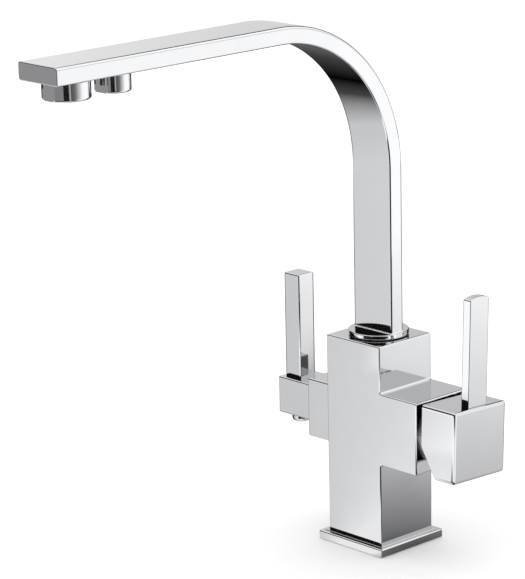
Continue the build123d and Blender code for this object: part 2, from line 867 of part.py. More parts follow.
with BuildPart() as mixer_cover_ring:
    barrel(mixer_axis, mixer_arm_reach, cover_ring_end, cover_ring_radius, cover_ring_bore)
    rim = mixer_cover_ring.edges().group_by(Axis.X)[-1].sort_by(SortBy.RADIUS)[-1]
    fillet(rim, cover_ring_rounding)
    barrel(
        mixer_axis, mixer_arm_reach - cover_ring_spigot, mixer_arm_reach, nut_radius,
        cover_ring_bore,
    )

# ---------------------------------------------------------------- mixer cartridge, moving pieces

with BuildPart() as stem_carrier:
    barrel(mixer_axis, carrier_start, carrier_shoulder, carrier_flange_radius)
    barrel(mixer_axis, carrier_shoulder, carrier_neck_end, carrier_neck_radius)
    bar(
        mixer_axis, carrier_start, carrier_neck_end, carrier_slot_width, carrier_slot_length,
        mode=Mode.SUBTRACT,
    )
    pin_line = Plane(
        origin=(pivot_reach, 0, arm_axis_height), x_dir=(1, 0, 0), z_dir=(0, 1, 0)
    )
    barrel(
        pin_line, -carrier_neck_radius, carrier_neck_radius,
        pivot_pin_radius + assembly_clearance, mode=Mode.SUBTRACT,
    )

with BuildPart() as pivot_pin:
    barrel(pin_line, -pivot_pin_length / 2, pivot_pin_length / 2, pivot_pin_radius)

ball_reach = pivot_reach - stem_ball_arm
stem_end = mixer_boss_start + mixer_stem_insertion
with BuildPart() as lever_stem:
    bar(mixer_axis, pivot_reach - stem_block_start, stem_end, stem_width, stem_height)
    barrel(
        mixer_axis, ball_reach, pivot_reach - stem_block_start, stem_neck_radius,
    )
    with Locations((ball_reach, 0, arm_axis_height)):
        Sphere(stem_ball_radius)
    barrel(
        pin_line, -stem_width, stem_width, pivot_pin_radius + running_clearance,
        mode=Mode.SUBTRACT,
    )

with BuildPart() as moving_disc:
    barrel(
        mixer_axis, fixed_disc_end, moving_disc_end, moving_disc_radius,
        at=(0, moving_disc_rest),
    )
    barrel(
        mixer_axis, fixed_disc_end, fixed_disc_end + disc_cavity_depth, disc_cavity_radius,
        at=(0, moving_disc_rest), mode=Mode.SUBTRACT,
    )

with BuildPart() as disc_carrier:
    barrel(
        mixer_axis, moving_disc_end, disc_carrier_end, moving_disc_radius,
        at=(0, moving_disc_rest),
    )
    bar(
        mixer_axis, disc_carrier_end, disc_carrier_end + tongue_height, stem_width,
        tongue_length,
    )
    pocket_radius = stem_ball_radius + stem_ball_clearance
    barrel(
        mixer_axis, moving_disc_end, disc_carrier_end + tongue_height, pocket_radius,
        mode=Mode.SUBTRACT,
    )
    # the stem's neck swings down through an open slot in the tongue
    bar(
        mixer_axis, ball_reach + stem_swing_gap, disc_carrier_end + tongue_height,
        2 * pocket_radius, tongue_length / 2, at=(0, -tongue_length / 4), mode=Mode.SUBTRACT,
    )

# ---------------------------------------------------------------- mixer handle and lever

handle_low = arm_axis_height + mixer_handle_bottom
handle_high = arm_axis_height + mixer_handle_top
half_handle = mixer_handle_width / 2
with BuildPart() as mixer_handle:
    with BuildSketch(Plane.XZ.offset(-half_handle)) as handle_profile:
        with BuildLine():
            Polyline(
                (mixer_handle_rim, handle_high),
                (mixer_handle_end, handle_high),
                (mixer_handle_end, handle_low),
                (mixer_handle_chamfer_end, handle_low),
                (mixer_handle_rim, arm_axis_height + mixer_handle_chamfer_top),
                close=True,
            )
        make_face()
        rim_corner = handle_profile.vertices().group_by(Axis.X)[0].sort_by(Axis.Y)[0]
        fillet(rim_corner, mixer_handle_chamfer_rounding)
        heel_corner = handle_profile.vertices().group_by(Axis.Y)[0].sort_by(Axis.X)[0]
        fillet(heel_corner, mixer_handle_heel_rounding)
    extrude(handle_profile.sketch, amount=mixer_handle_width)
    fillet(mixer_handle.edges().filter_by(Axis.X), mixer_handle_rounding)
    fillet(mixer_handle.faces().sort_by(Axis.X)[-1].edges(), mixer_handle_edge)
    # hollow skirt that hides the cover ring
    cavity_low = handle_low + mixer_handle_wall
    cavity_high = handle_high - mixer_handle_wall
    bar(
        mixer_axis, mixer_arm_reach, mixer_cavity_end,
        mixer_handle_width - 2 * mixer_handle_wall, cavity_high - cavity_low,
        at=(0, (cavity_high + cavity_low) / 2 - arm_axis_height), mode=Mode.SUBTRACT,
    )
    # boss that grips the stem
    barrel(mixer_axis, mixer_boss_start, mixer_cavity_end, mixer_boss_radius)
    bar(
        mixer_axis, mixer_boss_start, mixer_boss_start + mixer_socket_depth,
        stem_width + 2 * assembly_clearance, stem_height + 2 * assembly_clearance,
        mode=Mode.SUBTRACT,
    )
    barrel(
        column_axis, handle_low, arm_axis_height, handle_screw_radius + assembly_clearance,
        at=(mixer_screw_reach, 0), mode=Mode.SUBTRACT,
    )
    barrel(
        column_axis, handle_high - lever_tenon_length - screw_end_gap, handle_high,
        lever_tenon_radius + assembly_clearance, at=(mixer_lever_centre, 0),
        mode=Mode.SUBTRACT,
    )
    barrel(
        mixer_axis, mixer_cavity_end, mixer_lever_centre,
        lever_screw_radius + assembly_clearance,
        at=(0, mixer_handle_top - lever_screw_drop), mode=Mode.SUBTRACT,
    )

with BuildPart() as mixer_lever:
    lever_side = mixer_lever_width / 2
    lever_top = mixer_handle_top + mixer_lever_length
    lever_shoulder = lever_top - mixer_lever_crown
    lever_face = mixer_axis.offset(mixer_lever_centre - mixer_lever_thickness / 2)
    with BuildSketch(lever_face) as lever_profile:
        with BuildLine():
            Polyline(
                (-lever_side, lever_shoulder),
                (-lever_side, mixer_handle_top),
                (lever_side, mixer_handle_top),
                (lever_side, lever_shoulder),
            )
            ThreePointArc(
                (lever_side, lever_shoulder), (0, lever_top), (-lever_side, lever_shoulder)
            )
        make_face()
        fillet(lever_profile.vertices().group_by(Axis.Y)[-1], mixer_lever_rounding)
    extrude(lever_profile.sketch, amount=mixer_lever_thickness)
    lever_edges = mixer_lever.faces().filter_by(Axis.X).edges()
    fillet(lever_edges.filter_by(lambda edge: edge.center().Z > handle_high), mixer_lever_edge)
    barrel(
        column_axis, handle_high - lever_tenon_length, handle_high, lever_tenon_radius,
        at=(mixer_lever_centre, 0),
    )

with BuildPart() as mixer_lever_screw:
    grub_screw(
        mixer_axis, mixer_cavity_end + screw_end_gap,
        mixer_lever_centre - lever_tenon_radius - assembly_clearance, lever_screw_radius,
        at=(0, mixer_handle_top - lever_screw_drop),
    )

with BuildPart() as mixer_handle_screw:
    stem_bottom = arm_axis_height - stem_height / 2
    grub_screw(
        column_axis, stem_bottom - handle_screw_length, stem_bottom, handle_screw_radius,
        at=(mixer_screw_reach, 0),
    )

# ---------------------------------------------------------------- filter valve


def butterfly(plane, first_turn):
    """Two opposite sector openings, as in a quarter turn ceramic disc."""
    half = radians(valve_sector_angle / 2)
    near = (valve_sector_inner * cos(half), valve_sector_inner * sin(half))
    far = (valve_sector_outer * cos(half), valve_sector_outer * sin(half))
    near_below = (near[0], -near[1])
    far_below = (far[0], -far[1])
    with BuildSketch(plane) as sectors:
        for turn in (first_turn, first_turn + 180):
            with BuildLine(Plane.XY.rotated((0, 0, turn))):
                Line(near_below, far_below)
                RadiusArc(far_below, far, -valve_sector_outer)
                Line(far, near)
                RadiusArc(near, near_below, valve_sector_inner)
            make_face()
    extrude(sectors.sketch, amount=valve_disc_thickness, mode=Mode.SUBTRACT)


with BuildPart() as filter_valve_body:
    spindle_bore = spindle_radius + running_clearance
    turned(
        filter_axis,
        (
            (valve_nose_bore, valve_nose_start),
            (valve_nose_radius, valve_nose_start),
            (valve_nose_radius, valve_flange_start),
            (filter_bore_radius - assembly_clearance, valve_flange_start),
            (filter_bore_radius - assembly_clearance, valve_flange_end),
            (spindle_bore, valve_flange_end),
            (spindle_bore, spindle_drive_end + running_clearance),
            (valve_nose_bore, spindle_drive_end + running_clearance),
        ),
    )
    with BuildSketch(filter_axis.offset(valve_flange_end)) as hexagon:
        RegularPolygon(valve_hex_across / 2, 6, major_radius=False)
        Circle(spindle_bore, mode=Mode.SUBTRACT)
    extrude(hexagon.sketch, amount=valve_hex_length)
    window_middle = spindle_drive_end - valve_window_length / 2
    with BuildSketch(Plane.XY.offset(arm_axis_height)) as windows:
        with Locations((-window_middle, 0)):
            Rectangle(valve_window_length, 2 * (valve_nose_radius + cut_overrun))
    extrude(windows.sketch, amount=valve_window_width / 2, both=True, mode=Mode.SUBTRACT)

with BuildPart() as filter_fixed_disc:
    barrel(filter_axis, valve_nose_start, valve_moving_start, valve_disc_radius)
    butterfly(filter_axis.offset(valve_nose_start), 0)

with BuildPart() as filter_valve_seal:
    barrel(
        filter_axis, filter_seat_floor, valve_nose_start, valve_nose_radius, valve_seal_bore
    )

with BuildPart() as filter_moving_disc:
    barrel(filter_axis, valve_moving_start, valve_moving_end, valve_disc_radius)
    butterfly(filter_axis.offset(valve_moving_start), 90)
    bar(
        filter_axis, valve_moving_end - valve_drive_depth, valve_moving_end,
        valve_drive_slot, 2 * (valve_disc_radius + cut_overrun), mode=Mode.SUBTRACT,
    )

with BuildPart() as filter_spindle:
    barrel(filter_axis, valve_moving_end, spindle_drive_end, spindle_drive_radius)
    bar(
        filter_axis, valve_moving_end - valve_drive_depth, valve_moving_end,
        valve_drive_slot - 2 * assembly_clearance,
        2 * (valve_disc_radius - spindle_drive_edge_gap),
    )
    barrel(filter_axis, spindle_drive_end, spindle_square_start, spindle_radius)
    bar(filter_axis, spindle_square_start, spindle_end, spindle_square, spindle_square)
    groove(
        filter_axis, spindle_o_ring_reach, spindle_o_ring_thickness + ring_side_gap,
        spindle_radius, spindle_radius - spindle_o_ring_thickness - groove_clearance,
    )
    groove(
        filter_axis, spindle_clip_start + spindle_clip_thickness / 2,
        spindle_clip_thickness + groove_clearance, spindle_radius, spindle_clip_groove_radius,
    )

with BuildPart() as spindle_o_ring:
    o_ring(filter_axis, spindle_o_ring_reach, spindle_radius, spindle_o_ring_thickness)

with BuildPart() as spindle_clip:
    barrel(
        filter_axis, spindle_clip_start, spindle_clip_start + spindle_clip_thickness,
        spindle_clip_radius, spindle_clip_groove_radius + assembly_clearance,
    )
    with BuildSketch(filter_axis.offset(spindle_clip_start)) as mouth:
        with Locations((0, -spindle_clip_radius)):
            Rectangle(spindle_clip_groove_radius, 2 * spindle_clip_radius)
    extrude(mouth.sketch, amount=spindle_clip_thickness, mode=Mode.SUBTRACT)

# ---------------------------------------------------------------- filter handle and lever

filter_handle_low = arm_axis_height - filter_handle_width / 2
filter_handle_high = arm_axis_height + filter_handle_width / 2
with BuildPart() as filter_handle:
    bar(
        filter_axis, filter_handle_start, filter_handle_end, filter_handle_width,
        filter_handle_width, filter_handle_edge,
    )
    fillet(filter_handle.edges().group_by(Axis.X)[0], filter_handle_end_edge)
    barrel(
        filter_axis, filter_handle_start, filter_handle_start + filter_counterbore_depth,
        filter_counterbore_radius, mode=Mode.SUBTRACT,
    )
    socket = spindle_square + 2 * assembly_clearance
    bar(filter_axis, filter_handle_start, filter_socket_end, socket, socket, mode=Mode.SUBTRACT)
    barrel(
        column_axis, filter_handle_low, arm_axis_height,
        handle_screw_radius + assembly_clearance, at=(-filter_screw_reach, 0),
        mode=Mode.SUBTRACT,
    )
    barrel(
        column_axis, filter_handle_low, filter_handle_high,
        filter_stud_radius + assembly_clearance, at=(-filter_lever_centre, 0),
        mode=Mode.SUBTRACT,
    )

with BuildPart() as filter_lever:
    bar(
        column_axis, filter_handle_high, filter_handle_high + filter_lever_length,
        filter_lever_width, filter_lever_width, filter_lever_rounding,
        at=(-filter_lever_centre, 0),
    )
    fillet(filter_lever.edges().group_by(Axis.Z)[-1], filter_lever_top_edge)
    barrel(
        column_axis, filter_handle_high,
        filter_handle_high + filter_stud_insertion + screw_end_gap,
        filter_stud_radius + assembly_clearance, at=(-filter_lever_centre, 0),
        mode=Mode.SUBTRACT,
    )

cap_nut_bottom = filter_handle_low - cap_nut_height
with BuildPart() as filter_lever_stud:
    barrel(
        column_axis, cap_nut_bottom + cap_nut_end_wall + screw_end_gap,
        filter_handle_high + filter_stud_insertion, filter_stud_radius,
        at=(-filter_lever_centre, 0),
    )

with BuildPart() as filter_cap_nut:
    barrel(
        column_axis, cap_nut_bottom, filter_handle_low, cap_nut_radius,
        at=(-filter_lever_centre, 0),
    )
    fillet(filter_cap_nut.edges().group_by(Axis.Z)[0], cap_nut_rounding)
    barrel(
        column_axis, cap_nut_bottom + cap_nut_end_wall, filter_handle_low,
        filter_stud_radius + assembly_clearance, at=(-filter_lever_centre, 0),
        mode=Mode.SUBTRACT,
    )

with BuildPart() as filter_handle_screw:
    spindle_flat = arm_axis_height - spindle_square / 2
    grub_screw(
        column_axis, spindle_flat - handle_screw_length, spindle_flat, handle_screw_radius,
        at=(-filter_screw_reach, 0),
    )

# ---------------------------------------------------------------- written pieces

# the mixer's moving pieces, which stand turned about the arm's axis
mixer_pieces = {
    "stem_carrier": stem_carrier,
    "pivot_pin": pivot_pin,
    "lever_stem": lever_stem,
    "moving_disc": moving_disc,
    "disc_carrier": disc_carrier,
    "mixer_handle": mixer_handle,
    "mixer_lever": mixer_lever,
    "mixer_lever_screw": mixer_lever_screw,
    "mixer_handle_screw": mixer_handle_screw,
}
pieces = {
    "tap_body": tap_body,
    "base_plate": base_plate,
    "base_seal": base_seal,
    "inlet_block": inlet_block,
    "swivel_washer": swivel_washer,
    "spout_retaining_screw": spout_retaining_screw,
    "spout": spout,
    "spout_flange": spout_flange,
    "spout_shank": spout_shank,
    "spout_slide_rings": spout_slide_rings,
    "spout_o_rings": spout_o_rings,
    "filter_tube": filter_tube,
    "filter_tube_connector": filter_tube_connector,
    "connector_o_ring": connector_o_ring,
    "filter_outlet_connector": filter_outlet_connector,
    "main_outlet_collar": main_outlet_collar,
    "main_aerator_housing": main_aerator_housing,
    "main_aerator_insert": main_aerator_insert,
    "main_aerator_washer": main_aerator_washer,
    "filter_outlet_housing": filter_outlet_housing,
    "filter_outlet_insert": filter_outlet_insert,
    "filter_outlet_washer": filter_outlet_washer,
    "cartridge_base": cartridge_base,
    "cartridge_seals": cartridge_seals,
    "cartridge_fixed_disc": cartridge_fixed_disc,
    "cartridge_housing": cartridge_housing,
    "cartridge_nut": cartridge_nut,
    "mixer_cover_ring": mixer_cover_ring,
    "filter_valve_body": filter_valve_body,
    "filter_fixed_disc": filter_fixed_disc,
    "filter_valve_seal": filter_valve_seal,
    "filter_moving_disc": filter_moving_disc,
    "filter_spindle": filter_spindle,
    "spindle_o_ring": spindle_o_ring,
    "spindle_clip": spindle_clip,
    "filter_handle": filter_handle,
    "filter_lever": filter_lever,
    "filter_lever_stud": filter_lever_stud,
    "filter_cap_nut": filter_cap_nut,
    "filter_handle_screw": filter_handle_screw,
}
solids = {name: piece.part for name, piece in pieces.items()}
mixer_line = Axis(mixer_axis.origin, mixer_axis.z_dir)
for name, piece in mixer_pieces.items():
    solids[name] = piece.part.rotate(mixer_line, mixer_rest_turn)

for name, solid in solids.items():
    solid.label = name
    export_step(solid, f"parts/{name}.step")
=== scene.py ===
from math import asin, cos, pi, radians, sin

import bmesh
import bpy
from bpy.props import FloatProperty, FloatVectorProperty, IntProperty, PointerProperty
from mathutils import Matrix, Vector


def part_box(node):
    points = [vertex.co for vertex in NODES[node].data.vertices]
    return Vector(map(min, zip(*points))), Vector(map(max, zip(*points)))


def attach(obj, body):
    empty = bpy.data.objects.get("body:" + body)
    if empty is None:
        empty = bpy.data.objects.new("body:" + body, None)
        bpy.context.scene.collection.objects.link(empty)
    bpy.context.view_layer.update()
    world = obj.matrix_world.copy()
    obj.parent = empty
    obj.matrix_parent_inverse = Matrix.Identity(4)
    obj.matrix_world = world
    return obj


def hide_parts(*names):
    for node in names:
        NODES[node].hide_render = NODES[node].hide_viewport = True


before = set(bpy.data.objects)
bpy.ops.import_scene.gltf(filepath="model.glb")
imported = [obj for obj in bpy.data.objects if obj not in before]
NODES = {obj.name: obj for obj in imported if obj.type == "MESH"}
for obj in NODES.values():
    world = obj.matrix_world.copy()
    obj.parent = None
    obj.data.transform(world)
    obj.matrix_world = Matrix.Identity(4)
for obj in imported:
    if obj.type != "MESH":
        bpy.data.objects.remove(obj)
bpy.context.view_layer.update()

bl_info = {
    "name": "Three Way Kitchen Tap",
    "version": (1, 0, 0),
    "blender": (4, 5, 0),
    "location": "View3D > Sidebar > Tap",
    "description": "Finishes, fine surfaces and studio for a three way kitchen tap",
    "category": "Object",
}

FINISHES = {}

# Degrees off upright at which the mixer's handle and lever stand at rest.
MIXER_REST_TURN = -2.0
# Places of the three threaded inlets in the underside.
INLET_PLACES = ((0.003, -0.007), (0.003, 0.007), (-0.010, 0.0))
# Profile of the seam round the riser, as shares of its size outward and upward.
SEAM_PROFILE = ((1.0, 0.0), (0.45, 0.12), (0.12, 0.45), (0.0, 1.0))

# Half width across flats of a turned ring that has none, wider than any ring.
NO_FLAT = 1.0
# Places closer than this count as the same.
NEAR = 0.0001
# Length by which a cutter passes the face that it opens.
CUT_SPARE = 0.002
# Signs of a rectangle's four corners, in their order round it.
CORNERS = ((1, 1), (-1, 1), (-1, -1), (1, -1))

# Segments and steps of the round forms.
TURNED_SEGMENTS = 96
BOSS_SEGMENTS = 48
THREAD_SEGMENTS = 24
TUBE_CORNER_STEPS = 8
RING_CORNER_STEPS = 6
TIP_STEPS = 6
MOUTH_STEPS = 6
CROWN_STEPS = 12
ROUNDING_STEPS = 10

# The marks that polishing leaves: their shade of the clean colour, how many hairlines
# lie across one smudge and how much the hairlines add to the waviness.
MARK_SHADE = 0.94
HAIRLINES_PER_SMUDGE = 30.0
HAIRLINE_RELIEF = 0.02

# Brightness of a reflection card whose level is 1, and its steps around and along.
CARD_GAIN = 1.6
CARD_STEPS = 64
CARD_RINGS = 16

# The camera's sensor in millimetres, and the nearest and farthest that it sees in metres.
SENSOR_WIDTH = 36.0
CAMERA_RANGE = (0.01, 50.0)


# ---------------------------------------------------------------- settings


def colour_property(name, description, default):
    """A colour setting."""
    return FloatVectorProperty(
        name=name, description=description, default=default, subtype="COLOR",
        size=3, min=0.0, max=1.0,
    )


def length_property(name, description, default):
    """A setting in metres."""
    return FloatProperty(
        name=name, description=description, default=default, unit="LENGTH", min=0.0,
    )


def angle_property(name, description, degrees):
    """A setting for a turn."""
    return FloatProperty(
        name=name, description=description, default=radians(degrees), unit="ROTATION",
    )


def share_property(name, description, default):
    """A setting from zero to one."""
    return FloatProperty(
        name=name, description=description, default=default, subtype="FACTOR", min=0.0, max=1.0,
    )


class FinishSettings(bpy.types.PropertyGroup):
    """Colours and polish of the tap's materials."""

    chrome_colour: colour_property(
        "Chrome", "Reflected colour of the polished plating", (0.66, 0.665, 0.68)
    )
    chrome_roughness: share_property("Chrome Roughness", "Blur of the polished plating", 0.035)
    brass_colour: colour_property("Brass", "Machined brass", (0.78, 0.58, 0.29))
    steel_colour: colour_property("Steel", "Stainless steel screws", (0.60, 0.59, 0.57))
    rubber_colour: colour_property("Rubber", "Seals and washers", (0.018, 0.018, 0.019))
    nylon_colour: colour_property("Nylon", "Slide rings and carriers", (0.80, 0.80, 0.76))
    cartridge_colour: colour_property("Cartridge", "Cartridge mouldings", (0.10, 0.11, 0.13))
    aerator_colour: colour_property("Aerator", "Outlet inserts", (0.10, 0.105, 0.11))
    tube_colour: colour_property("Tube", "Filtered water tube", (0.74, 0.78, 0.82))
    ceramic_colour: colour_property("Ceramic", "Polished ceramic discs", (0.86, 0.85, 0.81))
    # Near black inside the handle: painted shade that stands in for the shadow in its cavity and
    # on its boss.
    interior_shade_colour: colour_property("Interior", "Dark inside of the handle", (0.02, 0.02, 0.022))
    seam_colour: colour_property("Seam", "Satin brazed seam", (0.86, 0.86, 0.88))


class StageSettings(bpy.types.PropertyGroup):
    """Floor, light and camera."""

    floor_colour: colour_property("Floor", "Pale studio floor", (0.985, 0.985, 0.985))
    surround_colour: colour_property("Surround", "White surround", (1.0, 1.0, 1.0))
    surround_strength: FloatProperty(
        name="Surround Strength", description="Level of the white surround",
        default=1.2, min=0.0,
    )
    floor_radius: length_property("Floor Radius", "Radius of the round floor", 12.0)
    floor_gap: length_property("Floor Gap", "Floor below the tap's underside", 0.0002)
    camera_azimuth: angle_property("Azimuth", "Camera's turn round the tap", 46.85)
    camera_elevation: angle_property("Elevation", "Camera's height above the horizon", 14.88)
    camera_roll: angle_property("Roll", "Camera's tilt about its own axis", -1.23)
    camera_distance: length_property(
        "Distance", "From the camera to the point it looks at", 1.80918
    )
    camera_target: FloatVectorProperty(
        name="Target", description="Point that the camera looks at",
        default=(-0.10265, 0.0, 0.14097), subtype="TRANSLATION", size=3,
    )
    camera_lens: FloatProperty(
        name="Lens", description="Focal length on a 36 mm sensor",
        default=177.39, unit="CAMERA",
    )


class MixerHandleSettings(bpy.types.PropertyGroup):
    """Sizes of the mixer's cube handle, whose open rim faces the arm, and of its boss."""

    drop: length_property("Drop", "Underside below the arm's axis", 0.0222)
    chamfer_height: length_property("Chamfer Height", "Chamfer's start below the axis", 0.0046)
    chamfer_length: length_property("Chamfer Length", "Length of the cut under the rim", 0.0112)
    chamfer_softness: share_property(
        "Chamfer Softness", "Share of the rounding on the chamfer's sides", 0.4
    )
    rounding: length_property("Rounding", "Radius of the edges", 0.0024)
    fullness: share_property("Fullness", "Shape of the rounding, where 0.5 is circular", 0.68)
    wall: length_property("Wall", "Thickness of the cast wall", 0.002)
    floor: length_property("Floor", "Thickness of the solid end", 0.011)
    boss: length_property("Boss", "Radius of the boss that holds the stem", 0.009)
    boss_bore: length_property("Boss Bore", "Radius of the boss's bore", 0.0062)
    boss_setback: length_property("Boss Setback", "From the rim in to the boss's end", 0.0055)


class MixerCoverSettings(bpy.types.PropertyGroup):
    """Sizes of the satin cover cone between the mixer's arm and its handle."""

    bore: length_property("Bore", "Radius of the hole", 0.015)
    mouth: length_property("Mouth", "Radius of the hole at the rim", 0.0154)
    mouth_start: length_property("Mouth Start", "From the arm to where the hole widens", 0.004)
    spread: length_property("Spread", "Foot's reach beyond the solid ring", 0.0003)
    band: length_property("Band", "Length of the straight foot", 0.0008)
    taper: length_property("Taper", "Cone's top within the solid ring", 0.0006)
    chamfer: length_property("Chamfer", "Length of the rim's chamfer", 0.0006)
    rim: length_property("Rim", "Rim's edge within the solid ring", 0.0013)


class LeverSettings(bpy.types.PropertyGroup):
    """Sizes of the two bar levers."""

    rounding: length_property("Rounding", "Radius of a wholly rounded edge", 0.0025)
    crown: length_property("Crown", "Rise of the mixer lever's curved top", 0.0016)
    spare: length_property("Spare", "Added to each side for the softer edges", 0.0004)
    rise: length_property("Rise", "Added to the top for the softer edges", 0.0009)
    mixer_width: length_property("Mixer Width", "Width of the mixer lever", 0.0155)
    mixer_length: length_property("Mixer Length", "Mixer lever's top above its foot", 0.0661)
    back_softness: share_property(
        "Back Softness", "Share of the rounding on the top's back corner", 1.0
    )
    front_softness: share_property(
        "Front Softness", "Share of the rounding on the top's front corner", 0.4
    )
    far_softness: share_property(
        "Far Softness", "Share of the rounding on the left and back edges", 0.75
    )
    near_softness: share_property(
        "Near Softness", "Share of the rounding on the top's right edge", 0.3
    )
    mixer_front: share_property(
        "Mixer Front", "Share of the rounding on the mixer lever's front edge", 0.33
    )
    filter_front: share_property(
        "Filter Front", "Share of the rounding on the filter lever's front edge", 0.36
    )


class SpoutSettings(bpy.types.PropertyGroup):
    """Sizes of the flat tube's path and of its edges."""

    bend: length_property("Bend", "Radius of the bend's centre line", 0.0922)
    outer_right: length_property("Outer Right", "Radius of the outer right edge", 0.0018)
    outer_left: length_property("Outer Left", "Radius of the outer left edge", 0.0015)
    inner_left: length_property("Inner Left", "Radius of the inner left edge", 0.002)
    inner_right: length_property("Inner Right", "Radius of the inner right edge", 0.0011)
    tip_rounding: length_property("Tip Rounding", "Radius of the closed end's rim", 0.0006)
    bend_steps: IntProperty(name="Bend Steps", description="Sections in the bend", default=72)


class OutletSettings(bpy.types.PropertyGroup):
    """Sizes of the two outlets' turned housings."""

    mouth_rounding: length_property("Mouth Rounding", "Radius of the lower edge", 0.0012)
    rim: length_property("Rim", "Size of the small chamfers", 0.0004)
    main_flat: length_property("Main Flat", "Wrench flat's distance from the centre", 0.0123)
    main_flat_height: length_property("Main Flat Height", "Height of the flat", 0.0066)
    main_lip: length_property("Main Lip", "Lip's reach under the insert", 0.0012)
    filter_flat: length_property("Filter Flat", "Wrench flat's distance from the centre", 0.0083)
    filter_flat_height: length_property("Filter Flat Height", "Height of the flat", 0.0046)
    filter_lip: length_property("Filter Lip", "Lip's reach under the insert", 0.001)


class FootSettings(bpy.types.PropertyGroup):
    """Sizes of the fine rims at the feet of the spout and the column."""

    corner: length_property("Corner", "Radius of the rims' corners", 0.001)
    seam: length_property("Seam", "Size of the brazed seam round the riser", 0.0006)
    seam_overlap: length_property("Seam Overlap", "Seam's reach into the riser", 0.0002)
    washer_bore: length_property("Washer Bore", "Radius of the washer's hole", 0.0131)
    washer_chamfer: length_property("Washer Chamfer", "Chamfer of the washer's rim", 0.0002)
    step_reach: length_property("Step Reach", "From the column to the plate's step", 0.0019)
    step_height: length_property("Step Height", "Height of the plate's step", 0.00035)


class ThreadSettings(bpy.types.PropertyGroup):
    """Sizes of the threads in the inlets."""

    radius: length_property("Radius", "Radius of the inlets", 0.0045)
    start: length_property("Start", "Thread's start above the underside", 0.0008)
    pitch: length_property("Pitch", "Rise of the thread in one turn", 0.001)
    depth: length_property("Depth", "Height of the thread's ridge", 0.0004)
    run: length_property("Run", "Length of the threaded part", 0.010)


class TapSettings(bpy.types.PropertyGroup):
    """All settings of the tap."""

    finish: PointerProperty(type=FinishSettings)
    stage: PointerProperty(type=StageSettings)
    spout: PointerProperty(type=SpoutSettings)
    mixer_handle: PointerProperty(type=MixerHandleSettings)
    mixer_cover: PointerProperty(type=MixerCoverSettings)
    levers: PointerProperty(type=LeverSettings)
    outlets: PointerProperty(type=OutletSettings)
    foot: PointerProperty(type=FootSettings)
    threads: PointerProperty(type=ThreadSettings)


# ---------------------------------------------------------------- node helpers


def new_group(name, inputs, outputs):
    """A shader node group with named float inputs and typed outputs."""
    group = bpy.data.node_groups.new(name, "ShaderNodeTree")
    for label, default in inputs:
        socket = group.interface.new_socket(label, in_out="INPUT", socket_type="NodeSocketFloat")
        socket.default_value = default
    for label, kind in outputs:
        group.interface.new_socket(label, in_out="OUTPUT", socket_type=kind)
    return group, group.nodes.new("NodeGroupInput"), group.nodes.new("NodeGroupOutput")


def add_node(tree, kind, **values):
    """A node with its settings, where a key that names an input sets that input."""
    node = tree.nodes.new(kind)
    for key, value in values.items():
        if hasattr(node, key):
            setattr(node, key, value)
        else:
            node.inputs[key.replace("_", " ")].default_value = value
    return node


def math_node(tree, operation, first, second):
    """A math node whose operands are sockets or numbers."""
    node = tree.nodes.new("ShaderNodeMath")
    node.operation = operation
    for socket, operand in zip(node.inputs, (first, second)):
        if isinstance(operand, (int, float)):
            socket.default_value = operand
        else:
            tree.links.new(operand, socket)
    return node.outputs[0]


def build_polish_group():
    """Hairline scratches, wipe marks and the faint waviness of a buffed surface."""
    group, given, result = new_group(
        "Buffed surface",
        [("Mark Scale", 60.0), ("Scratch Strength", 0.3)],
        [("Marks", "NodeSocketFloat"), ("Height", "NodeSocketFloat")],
    )
    place = add_node(group, "ShaderNodeTexCoord")
    smudge = add_node(group, "ShaderNodeTexNoise", Detail=3.0, Roughness=0.55)
    hairline = add_node(group, "ShaderNodeTexNoise", Detail=2.0, Roughness=0.6)
    stretch = add_node(group, "ShaderNodeMapping")
    stretch.inputs["Scale"].default_value = (1.0, 1.0, 0.06)
    stretch.inputs["Rotation"].default_value = (radians(14), radians(9), radians(31))
    wave = add_node(group, "ShaderNodeTexNoise", Scale=22.0, Detail=1.0)
    links = group.links
    links.new(place.outputs["Object"], smudge.inputs["Vector"])
    links.new(place.outputs["Object"], stretch.inputs["Vector"])
    links.new(stretch.outputs["Vector"], hairline.inputs["Vector"])
    links.new(place.outputs["Object"], wave.inputs["Vector"])
    links.new(given.outputs["Mark Scale"], smudge.inputs["Scale"])
    fine = math_node(group, "MULTIPLY", given.outputs["Mark Scale"], HAIRLINES_PER_SMUDGE)
    links.new(fine, hairline.inputs["Scale"])
    strength = given.outputs["Scratch Strength"]
    scratch = math_node(group, "MULTIPLY", hairline.outputs["Fac"], strength)
    marks = math_node(group, "ADD", smudge.outputs["Fac"], scratch)
    links.new(marks, result.inputs["Marks"])
    relief = math_node(group, "MULTIPLY", scratch, HAIRLINE_RELIEF)
    links.new(math_node(group, "ADD", wave.outputs["Fac"], relief), result.inputs["Height"])
    return group


def build_grain_group():
    """The fine grain of a moulded or rubber surface."""
    group, given, result = new_group(
        "Moulded grain",
        [("Grain Scale", 900.0)],
        [("Marks", "NodeSocketFloat"), ("Height", "NodeSocketFloat")],
    )
    place = add_node(group, "ShaderNodeTexCoord")
    grain = add_node(group, "ShaderNodeTexNoise", Detail=4.0, Roughness=0.6)
    cloud = add_node(group, "ShaderNodeTexNoise", Scale=70.0, Detail=2.0)
    links = group.links
    links.new(place.outputs["Object"], grain.inputs["Vector"])
    links.new(place.outputs["Object"], cloud.inputs["Vector"])
    links.new(given.outputs["Grain Scale"], grain.inputs["Scale"])
    links.new(grain.outputs["Fac"], result.inputs["Height"])
    links.new(cloud.outputs["Fac"], result.inputs["Marks"])
    return group


